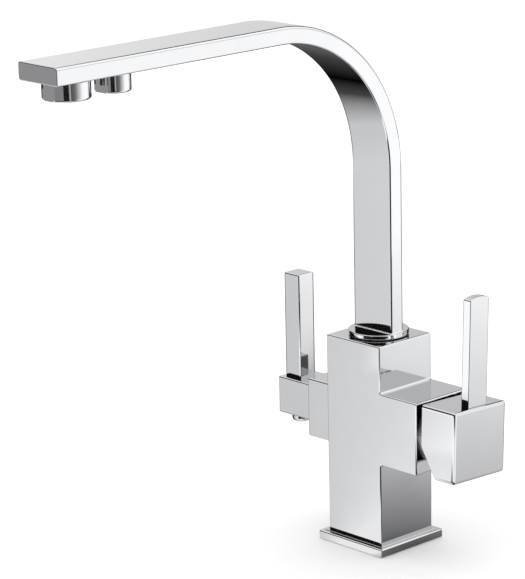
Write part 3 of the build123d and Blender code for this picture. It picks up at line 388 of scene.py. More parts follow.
def surface(
    name, colour, effect, roughness, spread, bump, depth=0.0001, metallic=0.0, coat=0.0, **values
):
    """A material whose colour, roughness and bump vary with a shared group's marks.

    Its roughness grows by the spread where the marks are strongest, and its bump is a strength
    with a depth in metres. Further values go to the group's inputs.
    """
    material = bpy.data.materials.new(name)
    material.use_nodes = True
    material.diffuse_color = (*colour, 1.0)
    tree = material.node_tree
    shader = tree.nodes["Principled BSDF"]
    shader.inputs["Metallic"].default_value = metallic
    shader.inputs["Coat Weight"].default_value = coat
    marks = add_node(tree, "ShaderNodeGroup", node_tree=effect, **values)
    blur = add_node(tree, "ShaderNodeMapRange", To_Min=roughness, To_Max=roughness + spread)
    # Of a colour mix, inputs 6 and 7 are the two colours and output 2 is the mixed one.
    tint = add_node(tree, "ShaderNodeMix", data_type="RGBA")
    tint.inputs[6].default_value = (*colour, 1.0)
    tint.inputs[7].default_value = (*(channel * MARK_SHADE for channel in colour), 1.0)
    relief = add_node(tree, "ShaderNodeBump", Strength=bump, Distance=depth)
    tree.links.new(marks.outputs["Marks"], blur.inputs["Value"])
    tree.links.new(blur.outputs["Result"], shader.inputs["Roughness"])
    tree.links.new(marks.outputs["Marks"], tint.inputs["Factor"])
    tree.links.new(tint.outputs[2], shader.inputs["Base Color"])
    tree.links.new(marks.outputs["Height"], relief.inputs["Height"])
    tree.links.new(relief.outputs["Normal"], shader.inputs["Normal"])
    return material


def build_materials(finish):
    """One material for each of the tap's finishes."""
    buffed = {
        "effect": build_polish_group(), "metallic": 1.0, "Mark_Scale": 60.0,
        "Scratch_Strength": 0.3,
    }
    moulded = {"effect": build_grain_group(), "Grain_Scale": 900.0}
    return {
        "polished_chrome": surface(
            "Polished chrome", finish.chrome_colour, roughness=finish.chrome_roughness,
            spread=0.03, bump=0.03, depth=0.0002, **buffed,
        ),
        "brass": surface(
            "Machined brass", finish.brass_colour, roughness=0.22,
            spread=0.12, bump=0.2, **buffed,
        ),
        "stainless_steel": surface(
            "Stainless steel", finish.steel_colour, roughness=0.22,
            spread=0.1, bump=0.2, **buffed,
        ),
        "black_rubber": surface(
            "Black rubber", finish.rubber_colour, roughness=0.62,
            spread=0.16, bump=0.3, **moulded,
        ),
        "white_nylon": surface(
            "White nylon", finish.nylon_colour, roughness=0.42,
            spread=0.12, bump=0.15, **moulded,
        ),
        "cartridge_plastic": surface(
            "Cartridge plastic", finish.cartridge_colour, roughness=0.38,
            spread=0.12, bump=0.15, **moulded,
        ),
        "aerator_plastic": surface(
            "Aerator plastic", finish.aerator_colour, roughness=0.4,
            spread=0.12, bump=0.15, **moulded,
        ),
        "tube_plastic": surface(
            "Tube plastic", finish.tube_colour, roughness=0.34,
            spread=0.1, bump=0.1, **moulded,
        ),
        "ceramic": surface(
            "Polished ceramic", finish.ceramic_colour, roughness=0.12,
            spread=0.06, bump=0.05, coat=0.3, **moulded,
        ),
        # Painted shade: the handle's cavity and boss are near black to stand in for the shadow
        # inside the handle.
        "interior": surface(
            "Painted shade interior", finish.interior_shade_colour, roughness=0.55,
            spread=0.2, bump=0.3, depth=0.0002, **moulded,
        ),
        "seam": surface(
            "Satin seam", finish.seam_colour, roughness=0.38,
            spread=0.1, bump=0.1, **buffed,
        ),
    }


def finish_node(node, materials):
    """Give a CAD node's slots the material of the same finish."""
    for holder in node.material_slots:
        holder.material = materials[holder.material.name.split(".")[0]]


# ---------------------------------------------------------------- mesh helpers


def need(name, *nodes):
    """Stop an operator when a CAD node or a finish that it builds on is missing."""
    missing = [node for node in nodes if node not in NODES]
    if missing:
        raise RuntimeError(f"{name} needs the nodes {missing}")
    if not FINISHES:
        raise RuntimeError(f"{name} needs the finishes first")


def mesh_object(name, shape, finishes, index=0):
    """An object from a bmesh, with all of its faces in one of its finishes."""
    mesh = bpy.data.meshes.new(name)
    bmesh.ops.recalc_face_normals(shape, faces=shape.faces)
    for face in shape.faces:
        face.material_index = index
    shape.to_mesh(mesh)
    shape.free()
    for finish in finishes:
        mesh.materials.append(FINISHES[finish])
    item = bpy.data.objects.new(name, mesh)
    bpy.context.scene.collection.objects.link(item)
    return item


def smooth(piece, sharp):
    """Shade a piece smooth up to a sharp angle, with even normals beside its flat faces."""
    piece.data.shade_smooth()
    piece.data.set_sharp_from_angle(angle=radians(sharp))
    even = piece.modifiers.new("Even normals", "WEIGHTED_NORMAL")
    even.keep_sharp = True


def new_piece(name, shape, body, finishes, sharp=32.0):
    """A piece from a bmesh, smooth between its sharp edges, riding a CAD body."""
    piece = mesh_object(name, shape, finishes)
    smooth(piece, sharp)
    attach(piece, body)
    return piece


def rounded_piece(
    name, shape, body, finishes, rounding, fullness=0.5, cutter=None, place=None, sharp=32.0
):
    """A piece from a bmesh, rounded by its edges' weights and then moved to its place.

    A second bmesh is cut out of it where one is given, and the cut's walls take the second
    finish.
    """
    piece = mesh_object(name, shape, finishes)
    soften = piece.modifiers.new("Rounding", "BEVEL")
    soften.limit_method = "WEIGHT"
    soften.width = rounding
    soften.segments = ROUNDING_STEPS
    soften.profile = fullness
    tool = None
    if cutter is not None:
        tool = mesh_object(name + "_cutter", cutter, finishes, 1)
        cut = piece.modifiers.new("Cavity", "BOOLEAN")
        cut.operation = "DIFFERENCE"
        cut.solver = "EXACT"
        cut.object = tool
    graph = bpy.context.evaluated_depsgraph_get()
    result = bpy.data.meshes.new_from_object(piece.evaluated_get(graph))
    piece.modifiers.clear()
    piece.data = result
    if tool is not None:
        bpy.data.objects.remove(tool)
    smooth(piece, sharp)
    if place is not None:
        result.transform(place)
    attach(piece, body)
    return piece


def join_loops(shape, loops):
    """Faces from each closed loop of vertices to the next."""
    for first, second in zip(loops, loops[1:]):
        for step in range(len(first)):
            after = (step + 1) % len(first)
            shape.faces.new((first[step], first[after], second[after], second[step]))


def straight_bar(first, second):
    """A closed bar between two outlines of places, with as many places in each."""
    shape = bmesh.new()
    ends = [[shape.verts.new(place) for place in outline] for outline in (first, second)]
    shape.faces.new(ends[0])
    shape.faces.new(reversed(ends[1]))
    count = len(first)
    for index in range(count):
        after = (index + 1) % count
        shape.faces.new((ends[0][index], ends[1][index], ends[1][after], ends[0][after]))
    return shape


def block(lowest, highest):
    """A box from two corners."""
    shape = bmesh.new()
    size = Vector(highest) - Vector(lowest)
    middle = (Vector(highest) + Vector(lowest)) / 2
    place = Matrix.Translation(middle) @ Matrix.Diagonal((*size, 1.0))
    bmesh.ops.create_cube(shape, size=1.0, matrix=place)
    return shape


def turned_shell(rings, centre=(0.0, 0.0), segments=TURNED_SEGMENTS):
    """A closed shell turned about +Z from (radius, height, half width across flats) rings."""
    shape = bmesh.new()
    loops = []
    for radius, height, flat in rings:
        loop = []
        for step in range(segments):
            angle = 2 * pi * step / segments
            side = max(-flat, min(flat, radius * sin(angle)))
            loop.append(
                shape.verts.new((centre[0] + radius * cos(angle), centre[1] + side, height))
            )
        loops.append(loop)
    join_loops(shape, loops + loops[:1])
    return shape


def round_rings(places):
    """Rings without flats from (radius, height) places."""
    return [(radius, height, NO_FLAT) for radius, height in places]


def quarter_round(radius, height, rounding, steps, flat):
    """Rings of a lower outer edge, from the side wall to the flat underside."""
    rings = []
    for step in range(steps + 1):
        angle = radians(90) * step / steps
        rings.append((
            radius - rounding + rounding * cos(angle), height + rounding - rounding * sin(angle),
            flat,
        ))
    return rings


def rounded_rectangle(across, deep, roundings, steps, inset=0.0):
    """Places round a rectangle of two half sizes, its four corners rounded one by one.

    An inset shrinks the rectangle on all sides.
    """
    places = []
    for quarter, ((right, outward), rounding) in enumerate(zip(CORNERS, roundings)):
        spread = rounding - inset
        for step in range(steps + 1):
            angle = radians(90 * quarter + 90 * step / steps)
            places.append((
                right * (across - rounding) + spread * cos(angle),
                outward * (deep - rounding) + spread * sin(angle),
            ))
    return places


def square_ring(loops):
    """A closed shell round the column from (half across, half deep, corner, height) loops."""
    shape = bmesh.new()
    rows = []
    for across, deep, corner, height in loops:
        roundings = [corner] * len(CORNERS)
        section = rounded_rectangle(across, deep, roundings, RING_CORNER_STEPS)
        rows.append([shape.verts.new((x, y, height)) for x, y in section])
    join_loops(shape, rows + rows[:1])
    return shape


def mixer_axis():
    """Height of the mixer arm's axis, which runs along +X."""
    low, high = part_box("mixer_cover_ring")
    return (low.z + high.z) / 2


def mixer_lean():
    """The place at rest of what is drawn upright about the mixer arm's axis."""
    turn = Matrix.Rotation(radians(MIXER_REST_TURN), 4, "X")
    return Matrix.Translation((0, 0, mixer_axis())) @ turn


# ---------------------------------------------------------------- operators


class TAP_OT_finishes(bpy.types.Operator):
    """Give every solid its finish"""

    bl_idname = "tap.finishes"
    bl_label = "Finishes"

    def execute(self, context):
        FINISHES.update(build_materials(context.scene.tap.finish))
        for node in NODES.values():
            finish_node(node, FINISHES)
        return {"FINISHED"}


class TAP_OT_spout(bpy.types.Operator):
    """Flat spout tube swept up the riser, round the bend and out to the closed tip"""

    bl_idname = "tap.spout"
    bl_label = "Spout"

    def execute(self, context):
        need("The spout", "spout")
        sizes = context.scene.tap.spout
        low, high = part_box("spout")
        across = high.x
        deep = high.y
        centre_y = -sizes.bend
        centre_z = high.z - deep - sizes.bend
        stations = [((0.0, low.z), 0.0, 0.0)]
        for step in range(sizes.bend_steps + 1):
            angle = radians(90) * step / sizes.bend_steps
            place = (centre_y + sizes.bend * cos(angle), centre_z + sizes.bend * sin(angle))
            stations.append((place, angle, 0.0))
        rim = sizes.tip_rounding
        for step in range(TIP_STEPS + 1):
            angle = radians(90) * step / TIP_STEPS
            reach = low.y + rim - rim * sin(angle)
            stations.append(((reach, high.z - deep), radians(90), rim - rim * cos(angle)))
        roundings = (sizes.outer_right, sizes.outer_left, sizes.inner_left, sizes.inner_right)
        shape = bmesh.new()
        loops = []
        for (y, z), angle, inset in stations:
            section = rounded_rectangle(across, deep, roundings, TUBE_CORNER_STEPS, inset)
            loops.append([
                shape.verts.new((x, y + outward * cos(angle), z + outward * sin(angle)))
                for x, outward in section
            ])
        join_loops(shape, loops)
        shape.faces.new(loops[0])
        shape.faces.new(reversed(loops[-1]))
        tube = new_piece(
            "spout_tube", shape, "spout_assembly", ("polished_chrome",),
            sharp=40.0,
        )
        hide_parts("spout")
        return {"FINISHED"}


def weigh_handle_edges(shape, rim, top, chamfer_softness):
    """Round all edges but those of the open rim, and the chamfer's sides by a share."""
    weight = shape.edges.layers.float.new("bevel_weight_edge")
    for edge in shape.edges:
        first, second = (vert.co for vert in edge.verts)
        if max(first.x, second.x) > rim + NEAR:
            from_rim = min(first.x, second.x) < rim + NEAR
            at_chamfer = from_rim and min(first.z, second.z) < top - NEAR
            edge[weight] = chamfer_softness if at_chamfer else 1.0


def make_handle_cube(sizes):
    """The hollow cast cube, drawn upright about the arm's axis and then leaned."""
    low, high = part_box("mixer_handle")
    turn = radians(MIXER_REST_TURN)
    half = (high.y - low.y - (high.z - low.z) * sin(abs(turn))) / (2 * cos(turn))
    half_tall = (high.z - low.z - 2 * half * sin(abs(turn))) / (2 * cos(turn))
    top = (high.z + low.z) / 2 - mixer_axis() + half_tall
    foot = -sizes.drop
    outline = (
        (low.x, top), (high.x, top), (high.x, foot),
        (low.x + sizes.chamfer_length, foot), (low.x, -sizes.chamfer_height),
    )
    shape = straight_bar(*([(x, side, z) for x, z in outline] for side in (-half, half)))
    weigh_handle_edges(shape, low.x, top, sizes.chamfer_softness)
    cavity = block(
        (low.x - CUT_SPARE, -half + sizes.wall, foot + sizes.wall),
        (high.x - sizes.floor, half - sizes.wall, top - sizes.wall),
    )
    # The cavity's walls take the near black finish, painted shade for the shadow inside the
    # handle.
    handle = rounded_piece(
        "mixer_handle_cube", shape, "mixer_lever_assembly",
        ("polished_chrome", "interior"), sizes.rounding, sizes.fullness, cavity, mixer_lean(),
    )
    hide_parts("mixer_handle")


def make_cover_cone(sizes):
    """The satin cone on the arm's end, turned about the arm's axis."""
    low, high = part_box("mixer_cover_ring")
    reach = high.z - mixer_axis()
    length = high.x - low.x
    shape = turned_shell(round_rings((
        (sizes.bore, 0.0), (reach + sizes.spread, 0.0), (reach + sizes.spread, sizes.band),
        (reach - sizes.taper, length - sizes.chamfer), (reach - sizes.rim, length),
        (sizes.mouth, length), (sizes.bore, sizes.mouth_start),
    )))
    along = Matrix.Rotation(radians(90), 4, "Y")
    shape.transform(Matrix.Translation((low.x, 0, mixer_axis())) @ along)
    cover = new_piece("mixer_cover_cone", shape, "fixed_body", ("seam",))
    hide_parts("mixer_cover_ring")


def make_handle_boss(sizes):
    """The boss inside the handle, from its solid end toward the arm."""
    low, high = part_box("mixer_handle")
    foot = high.x - sizes.floor
    length = foot - low.x - sizes.boss_setback
    shape = turned_shell(round_rings((
        (sizes.boss, 0.0), (sizes.boss, length), (sizes.boss_bore, length), (sizes.boss_bore, 0.0),
    )), segments=BOSS_SEGMENTS)
    back = Matrix.Rotation(radians(-90), 4, "Y")
    shape.transform(Matrix.Translation((foot, 0, mixer_axis())) @ back)
    # The boss is near black, painted shade like the rest of the handle's inside.
    new_piece(
        "mixer_handle_boss", shape, "mixer_lever_assembly", ("interior",)
    )


class TAP_OT_mixer_handle(bpy.types.Operator):
    """Cast cube handle whose inside is near black painted shade, with the cone behind it and the
    boss for the stem
    """

    bl_idname = "tap.mixer_handle"
    bl_label = "Mixer Handle"

    def execute(self, context):
        need("The mixer handle", "mixer_handle", "mixer_cover_ring")
        make_handle_cube(context.scene.tap.mixer_handle)
        make_cover_cone(context.scene.tap.mixer_cover)
        make_handle_boss(context.scene.tap.mixer_handle)
        return {"FINISHED"}


def weigh_lever_edges(shape, sizes, middle, half_wide, foot, front_edge):
    """Say how far each edge of a lever is rounded, from its sharp foot to its soft far side."""
    weight = shape.edges.layers.float.new("bevel_weight_edge")
    for edge in shape.edges:
        first, second = (vert.co for vert in edge.verts)
        at_back = min(first.y, second.y) > half_wide - NEAR
        at_front = max(first.y, second.y) < NEAR - half_wide
        if max(first.z, second.z) < foot + NEAR:
            continue
        if abs(first.x - second.x) > NEAR:
            if at_back or at_front:
                edge[weight] = sizes.back_softness if at_back else sizes.front_softness
        elif first.x < middle or at_back:
            edge[weight] = sizes.far_softness
        else:
            edge[weight] = front_edge if at_front else sizes.near_softness


def make_lever(node, body, sizes, half_wide, foot, top, crown, front_edge, place=None):
    """A bar lever in the stead of a node, whose top between its sides curves up by the crown."""
    low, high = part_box(node)
    middle = (low.x + high.x) / 2
    half_thick = (high.x - low.x) / 2 + sizes.spare
    half_wide += sizes.spare
    shoulder = top + sizes.rise - crown
    outline = [(-half_wide, foot), (half_wide, foot), (half_wide, shoulder)]
    if crown:
        for step in range(1, CROWN_STEPS):
            side = half_wide * (1 - 2 * step / CROWN_STEPS)
            outline.append((side, shoulder + crown * (1 - (side / half_wide) ** 2)))
    outline.append((-half_wide, shoulder))
    shape = straight_bar(*(
        [(x, y, z) for y, z in outline] for x in (middle - half_thick, middle + half_thick)
    ))
    weigh_lever_edges(shape, sizes, middle, half_wide, foot, front_edge)
    lever = rounded_piece(
        node + "_bar", shape, body, ("polished_chrome",), sizes.rounding,
        place=place,
    )
    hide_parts(node)


class TAP_OT_levers(bpy.types.Operator):
    """Bar levers with softened edges, the mixer's with a crowned top"""

    bl_idname = "tap.levers"
    bl_label = "Levers"

    def execute(self, context):
        need("The levers", "mixer_lever", "filter_lever", "mixer_cover_ring", "filter_handle")
        sizes = context.scene.tap.levers
        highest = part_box("mixer_lever")[1].z
        top = (highest - mixer_axis()) / cos(radians(MIXER_REST_TURN))
        make_lever(
            "mixer_lever", "mixer_lever_assembly", sizes, sizes.mixer_width / 2,
            top - sizes.mixer_length, top, sizes.crown, sizes.mixer_front, mixer_lean(),
        )
        low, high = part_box("filter_lever")
        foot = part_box("filter_handle")[1].z
        make_lever(
            "filter_lever", "filter_lever_assembly", sizes, (high.y - low.y) / 2,
            foot, high.z, 0.0, sizes.filter_front,
        )
        return {"FINISHED"}


class TAP_OT_outlets(bpy.types.Operator):
    """Turned outlet housings with wrench flats and rounded mouths"""

    bl_idname = "tap.outlets"
    bl_label = "Outlets"

    def execute(self, context):
        need(
            "The outlets", "main_aerator_housing", "main_aerator_insert",
            "filter_outlet_housing", "filter_outlet_insert",
        )
        sizes = context.scene.tap.outlets
        outlets = (
            ("main_aerator_housing", "main_aerator_insert", sizes.main_flat,
             sizes.main_flat_height, sizes.main_lip),
            ("filter_outlet_housing", "filter_outlet_insert", sizes.filter_flat,
             sizes.filter_flat_height, sizes.filter_lip),
        )
        rim = sizes.rim
        segment = 2 * pi / TURNED_SEGMENTS
        for node, insert, flat, flat_height, lip in outlets:
            low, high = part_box(node)
            inner_low, inner_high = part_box(insert)
            radius = (high.x - low.x) / 2
            # The flats end on whole segments, so that no narrow face is left beside them.
            flat = radius * sin(round(asin(flat / radius) / segment) * segment)
            bore = (inner_high.x - inner_low.x) / 2
            step = low.z + flat_height
            rings = round_rings((
                (bore, high.z), (radius - rim, high.z), (radius, high.z - rim), (radius, step),
            ))
            rings.append((radius, step, flat))
            rings += quarter_round(radius, low.z, sizes.mouth_rounding, MOUTH_STEPS, flat)
            rings += round_rings((
                (bore - lip + rim, low.z), (bore - lip, low.z + rim), (bore - lip, inner_low.z),
                (bore, inner_low.z),
            ))
            housing = new_piece(
                node + "_turned", turned_shell(rings, (0.0, (low.y + high.y) / 2)),
                "spout_assembly", ("polished_chrome",), sharp=20.0,
            )
            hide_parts(node)
        return {"FINISHED"}


def make_riser_seam(sizes):
    """The brazed seam where the spout's tube meets its flange."""
    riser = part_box("spout")[1]
    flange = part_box("spout_flange")[1]
    profile = [(-sizes.seam_overlap, 0.0)]
    profile += [(out * sizes.seam, rise * sizes.seam) for out, rise in SEAM_PROFILE]
    shape = square_ring([
        (riser.x + reach, riser.y + reach, sizes.corner + reach, flange.z + rise)
        for reach, rise in profile
    ])
    new_piece("riser_seam", shape, "spout_assembly", ("seam",), sharp=50.0)


def make_plate_step(sizes):
    """The low step round the column on the base plate."""
    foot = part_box("base_plate")[1].z
    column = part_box("tap_body")[1].y
    half = column + sizes.step_reach
    top = foot + sizes.step_height
    chamfer = sizes.step_height / 3
    within = column - chamfer
    profile = (
        (within, foot), (half, foot), (half, top - chamfer), (half - chamfer, top), (within, top),
    )
    shape = square_ring([(reach, reach, sizes.corner, height) for reach, height in profile])
    new_piece("plate_step", shape, "fixed_body", ("polished_chrome",))


def make_washer_ring(sizes):
    """The dark washer under the spout's flange."""
    low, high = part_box("swivel_washer")
    chamfer = sizes.washer_chamfer
    shape = turned_shell(round_rings((
        (sizes.washer_bore, high.z), (high.x - chamfer, high.z), (high.x, high.z - chamfer),
        (high.x, low.z + chamfer), (high.x - chamfer, low.z), (sizes.washer_bore, low.z),
    )))
    washer = new_piece(
        "swivel_washer_ring", shape, "fixed_body", ("black_rubber",)
    )
    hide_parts("swivel_washer")


class TAP_OT_foot(bpy.types.Operator):
    """Brazed seam round the riser, step on the base plate and dark washer under the flange"""

    bl_idname = "tap.foot"
    bl_label = "Foot"

    def execute(self, context):
        need("The foot", "spout", "spout_flange", "swivel_washer", "base_plate", "tap_body")
        sizes = context.scene.tap.foot
        make_riser_seam(sizes)
        make_plate_step(sizes)
        make_washer_ring(sizes)
        return {"FINISHED"}


def thread_ridge(sizes, centre):
    """The ridge of a thread that runs up an inlet, as a strip without ends."""
    profile = ((0.0, 0.0), (sizes.depth, sizes.pitch / 2), (0.0, sizes.pitch))
    shape = bmesh.new()
    rows = []
    for step in range(THREAD_SEGMENTS * int(sizes.run / sizes.pitch) + 1):
        angle = 2 * pi * step / THREAD_SEGMENTS
        height = sizes.start + sizes.pitch * step / THREAD_SEGMENTS
        row = []
        for inward, upward in profile:
            radius = sizes.radius - inward
            row.append(shape.verts.new((
                centre[0] + radius * cos(angle), centre[1] + radius * sin(angle), height + upward,
            )))
        rows.append(row)
    for first, second in zip(rows, rows[1:]):
        for flank in range(len(profile) - 1):
            shape.faces.new((first[flank], second[flank], second[flank + 1], first[flank + 1]))
    return shape


class TAP_OT_threads(bpy.types.Operator):
    """Threads cut into the three inlets under the column"""

    bl_idname = "tap.threads"
    bl_label = "Inlet Threads"

    def execute(self, context):
        need("The inlet threads", "inlet_block")
        for index, centre in enumerate(INLET_PLACES):
            new_piece(
                f"inlet_thread_{index + 1}", thread_ridge(context.scene.tap.threads, centre),
                "fixed_body", ("brass",), sharp=25.0,
            )
        return {"FINISHED"}


# ---------------------------------------------------------------- reflection cards


def ramp_node(tree, source, stops):
    """A colour ramp of (place, grey level) stops."""
    ramp = tree.nodes.new("ShaderNodeValToRGB")
    ramp.color_ramp.interpolation = "LINEAR"
    points = ramp.color_ramp.elements
    while len(points) < len(stops):
        points.new(1.0)
    for point, (place, level) in zip(points, stops):
        point.position = place
        point.color = (level, level, level, 1.0)
    tree.links.new(source, ramp.inputs[0])
    return ramp.outputs[0]


def level_stops(level, span):
    """Stops of a card's levels, which may be given as one level for all of its span."""
    if isinstance(level, (int, float)):
        return ((span[0], level), (span[1], level))
    return level


def cover_stops(places):
    """Stops of a cover that rises between the first two places and falls between the last two.

    Where the first two are the same, the card is whole from its very start.
    """
    stops = tuple(zip(places, (0.0, 1.0, 1.0, 0.0)))
    return stops if places[0] < places[1] else stops[1:]


def card_ramp(tree, source, span, stops):
    """A ramp whose stops are places in a card's own span, as a source from zero to one."""
    first, last = span
    return ramp_node(
        tree, source, [((place - first) / (last - first), level) for place, level in stops]
    )


def card_material(name, span, length, around, along, cover_around, cover_along):
    """Light of a reflector: level around the tap times level along the card, and its cover."""
    material = bpy.data.materials.new(name)
    material.use_nodes = True
    tree = material.node_tree
    tree.nodes.clear()
    place = add_node(tree, "ShaderNodeTexCoord")
    split = add_node(tree, "ShaderNodeSeparateXYZ")
    tree.links.new(place.outputs["UV"], split.inputs[0])
    along_card, around_tap = split.outputs[0], split.outputs[1]
    reach = (0.0, length)
    levels = (
        card_ramp(tree, around_tap, span, level_stops(around, span)),
        card_ramp(tree, along_card, reach, level_stops(along, reach)),
    )
    covers = (
        card_ramp(tree, around_tap, span, cover_stops(cover_around)),
        card_ramp(tree, along_card, reach, cover_stops(cover_along)),
    )
    glow = add_node(tree, "ShaderNodeEmission")
    level = math_node(tree, "MULTIPLY", *levels)
    tree.links.new(math_node(tree, "MULTIPLY", level, CARD_GAIN), glow.inputs["Strength"])
    clear = add_node(tree, "ShaderNodeBsdfTransparent")
    mix = add_node(tree, "ShaderNodeMixShader")
    end = add_node(tree, "ShaderNodeOutputMaterial")
    tree.links.new(math_node(tree, "MULTIPLY", *covers), mix.inputs[0])
    tree.links.new(clear.outputs[0], mix.inputs[1])
    tree.links.new(glow.outputs[0], mix.inputs[2])
    tree.links.new(mix.outputs[0], end.inputs[0])
    return material


def reflector(name, span, inner, outer, around, cover_around, cover_along, along=1.0):
    """A curved card about the column, seen only in reflections.

    It spans two turns in degrees and runs from an inner to an outer (radius, height) in metres.
    Its light is a level around the tap times a level along the card, each one number or stops
    of (place, level), and it stays the same before the first stop and after the last. Its covers
    are the places where it fades in and out. Places around it are in degrees. Places along it
    are in metres, from zero at the inner rim.
    """
    length = ((outer[0] - inner[0]) ** 2 + (outer[1] - inner[1]) ** 2) ** 0.5
    corners = []
    places = []
    for step in range(CARD_STEPS + 1):
        angle = radians(span[0] + (span[1] - span[0]) * step / CARD_STEPS)
        for ring in range(CARD_RINGS + 1):
            share = ring / CARD_RINGS
            radius = inner[0] + (outer[0] - inner[0]) * share
            height = inner[1] + (outer[1] - inner[1]) * share
            corners.append((radius * cos(angle), radius * sin(angle), height))
            places.append((share, step / CARD_STEPS))
    faces = []
    for step in range(CARD_STEPS):
        for ring in range(CARD_RINGS):
            start = step * (CARD_RINGS + 1) + ring
            beyond = start + CARD_RINGS + 1
            faces.append((start, start + 1, beyond + 1, beyond))
    mesh = bpy.data.meshes.new(name)
    mesh.from_pydata(corners, [], faces)
    layer = mesh.uv_layers.new(name="Place")
    for loop in mesh.loops:
        layer.data[loop.index].uv = places[loop.vertex_index]
    card = bpy.data.objects.new(name, mesh)
    bpy.context.scene.collection.objects.link(card)
    mesh.materials.append(
        card_material(name, span, length, around, along, cover_around, cover_along)
    )
    for ray in ("camera", "diffuse", "transmission", "volume_scatter", "shadow"):
        setattr(card, "visible_" + ray, False)


def set_floor_cards():
    """The cards that lie just above the floor, one over another by fractions of a millimetre.

    Sweeps, strips and patches are the studio's pale and graded areas, and flags its dark ones. The
    right sweep's grading toward the tap is a painted shadow of the tap on the floor.
    """
    # Its levels along it are painted shadow: darkest next to the tap, where the tap's own shadow
    # falls on the floor, and lighter outward, seen only in reflections.
    reflector(
        "sweep_right_painted_shadow", (-50, 62), (0.02, 0.0004), (2.3, 0.0004),
        around=((40, 0.9), (50, 1.0)),
        along=((0.0, 0.05), (0.03, 0.18), (0.18, 0.52), (0.4, 0.75), (0.8, 1.0)),
        cover_around=(-50, -44, 54, 62), cover_along=(0.0, 0.0, 2.1, 2.28),
    )
    reflector(
        "sweep_front", (205, 310), (0.02, 0.0006), (1.45, 0.0006),
        around=((205, 0.4), (215, 0.55), (250, 0.82)),
        along=0.95,
        cover_around=(205, 217, 300, 310), cover_along=(0.0, 0.0, 1.2, 1.4),
    )
    reflector(
        "patch_lever", (228, 248), (0.38, 0.0007), (0.95, 0.0007), around=0.93,
        cover_around=(228, 232, 242, 248), cover_along=(0.0, 0.03, 0.5, 0.57),
    )
    reflector(
        "flag_left", (118, 222), (0.08, 0.0008), (1.18, 0.0008),
        around=((140, 0.09), (155, 0.04), (180, 0.0), (195, 0.05), (215, 0.55)),
        cover_around=(118, 135, 212, 222), cover_along=(0.0, 0.08, 0.76, 1.08),
    )
    reflector(
        "flag_back", (52, 156), (0.05, 0.00075), (2.0, 0.00075),
        around=((130, 0.02), (145, 0.05)),
        cover_around=(52, 59, 150, 156), cover_along=(0.0, 0.04, 1.9, 1.95),
    )
    reflector(
        "strip_right", (-14, 25), (0.10, 0.0007), (2.3, 0.0007), around=0.95,
        cover_around=(-14, -8, 20, 25), cover_along=(0.12, 0.17, 2.1, 2.2),
    )
    reflector(
        "flag_under", (-50, 8), (0.055, 0.0011), (0.24, 0.0011), around=0.03,
        cover_around=(-50, -44, 3, 8), cover_along=(0.0, 0.015, 0.165, 0.185),
    )
    reflector(
        "flag_camera", (-108, -6), (0.11, 0.001), (1.6, 0.001), around=0.015,
        cover_around=(-108, -102, -14, -6), cover_along=(0.0, 0.03, 1.3, 1.49),
    )
    reflector(
        "patch_handle", (-124, -12), (0.24, 0.0013), (0.43, 0.0013),
        around=((-124, 0.85), (-60, 0.95), (-40, 0.8), (-12, 0.6)),
        cover_around=(-124, -116, -20, -12), cover_along=(0.0, 0.03, 0.15, 0.19),
    )
    reflector(
        "flag_far", (-70, -24), (1.35, 0.0014), (2.3, 0.0014), around=0.01,
        cover_around=(-60, -57, -36, -24), cover_along=(0.0, 0.12, 0.85, 0.95),
    )
    reflector(
        "strip_far", (-30, 31), (1.38, 0.0013), (2.3, 0.0013),
        around=((-30, 0.05), (-5, 0.15), (30, 0.8)),
        cover_around=(-30, -26, 25, 31), cover_along=(0.0, 0.06, 0.85, 0.92),
    )
    reflector(
        "strip_back", (40, 92), (1.12, 0.0013), (1.7, 0.0013),
        around=((70, 0.95), (90, 0.2)),
        cover_around=(40, 50, 80, 92), cover_along=(0.0, 0.05, 0.48, 0.58),
    )
    reflector(
        "flag_front", (140, 306), (1.2, 0.0012), (2.4, 0.0012),
        around=((190, 0.0), (200, 0.25), (260, 0.25), (270, 0.2)),
        cover_around=(140, 148, 300, 306), cover_along=(0.0, 0.2, 1.1, 1.2),
    )


def set_wall_cards():
    """The cards that stand upright about the tap."""
    reflector(
        "wall_back", (122, 164), (1.75, 0.0), (1.75, 1.7),
        around=((132, 0.45), (150, 0.65)),
        along=((0.06, 0.15), (0.12, 0.9), (0.5, 1.0)),
        cover_around=(122, 127, 153, 161), cover_along=(0.0, 0.0, 1.5, 1.7),
    )
    reflector(
        "wall_edge", (86, 130), (1.9, 0.0), (1.9, 3.0), around=0.02,
        cover_around=(86, 90, 126, 130), cover_along=(0.0, 0.0, 2.8, 3.0),
    )
    reflector(
        "wall_right", (4, 96), (2.5, 0.3), (2.5, 3.5), around=1.0,
        along=((0.6, 0.6), (1.1, 0.95)),
        cover_around=(4, 20, 90, 96), cover_along=(0.0, 0.2, 3.0, 3.2),
    )
    reflector(
        "wall_front", (150, 350), (2.5, 0.02), (2.5, 2.3), around=0.006,
        cover_around=(150, 160, 338, 350), cover_along=(0.0, 0.0, 1.7, 2.28),
    )


# ---------------------------------------------------------------- stage


def lay_floor(scene, stage):
    """The round pale floor, matt and without a highlight."""
    shape = bmesh.new()
    bmesh.ops.create_circle(
        shape, cap_ends=True, segments=TURNED_SEGMENTS, radius=stage.floor_radius
    )
    mesh = bpy.data.meshes.new("floor")
    shape.to_mesh(mesh)
    shape.free()
    floor = bpy.data.objects.new("floor", mesh)
    floor.location.z = -stage.floor_gap
    scene.collection.objects.link(floor)
    material = bpy.data.materials.new("Pale floor")
    material.use_nodes = True
    shader = material.node_tree.nodes["Principled BSDF"]
    shader.inputs["Base Color"].default_value = (*stage.floor_colour, 1.0)
    shader.inputs["Roughness"].default_value = 0.9
    shader.inputs["Specular IOR Level"].default_value = 0.0
    mesh.materials.append(material)


def light_surround(scene, stage):
    """The even white light from all round."""
    world = bpy.data.worlds.new("Studio")
    world.use_nodes = True
    backdrop = world.node_tree.nodes["Background"]
    backdrop.inputs["Color"].default_value = (*stage.surround_colour, 1.0)
    backdrop.inputs["Strength"].default_value = stage.surround_strength
    scene.world = world


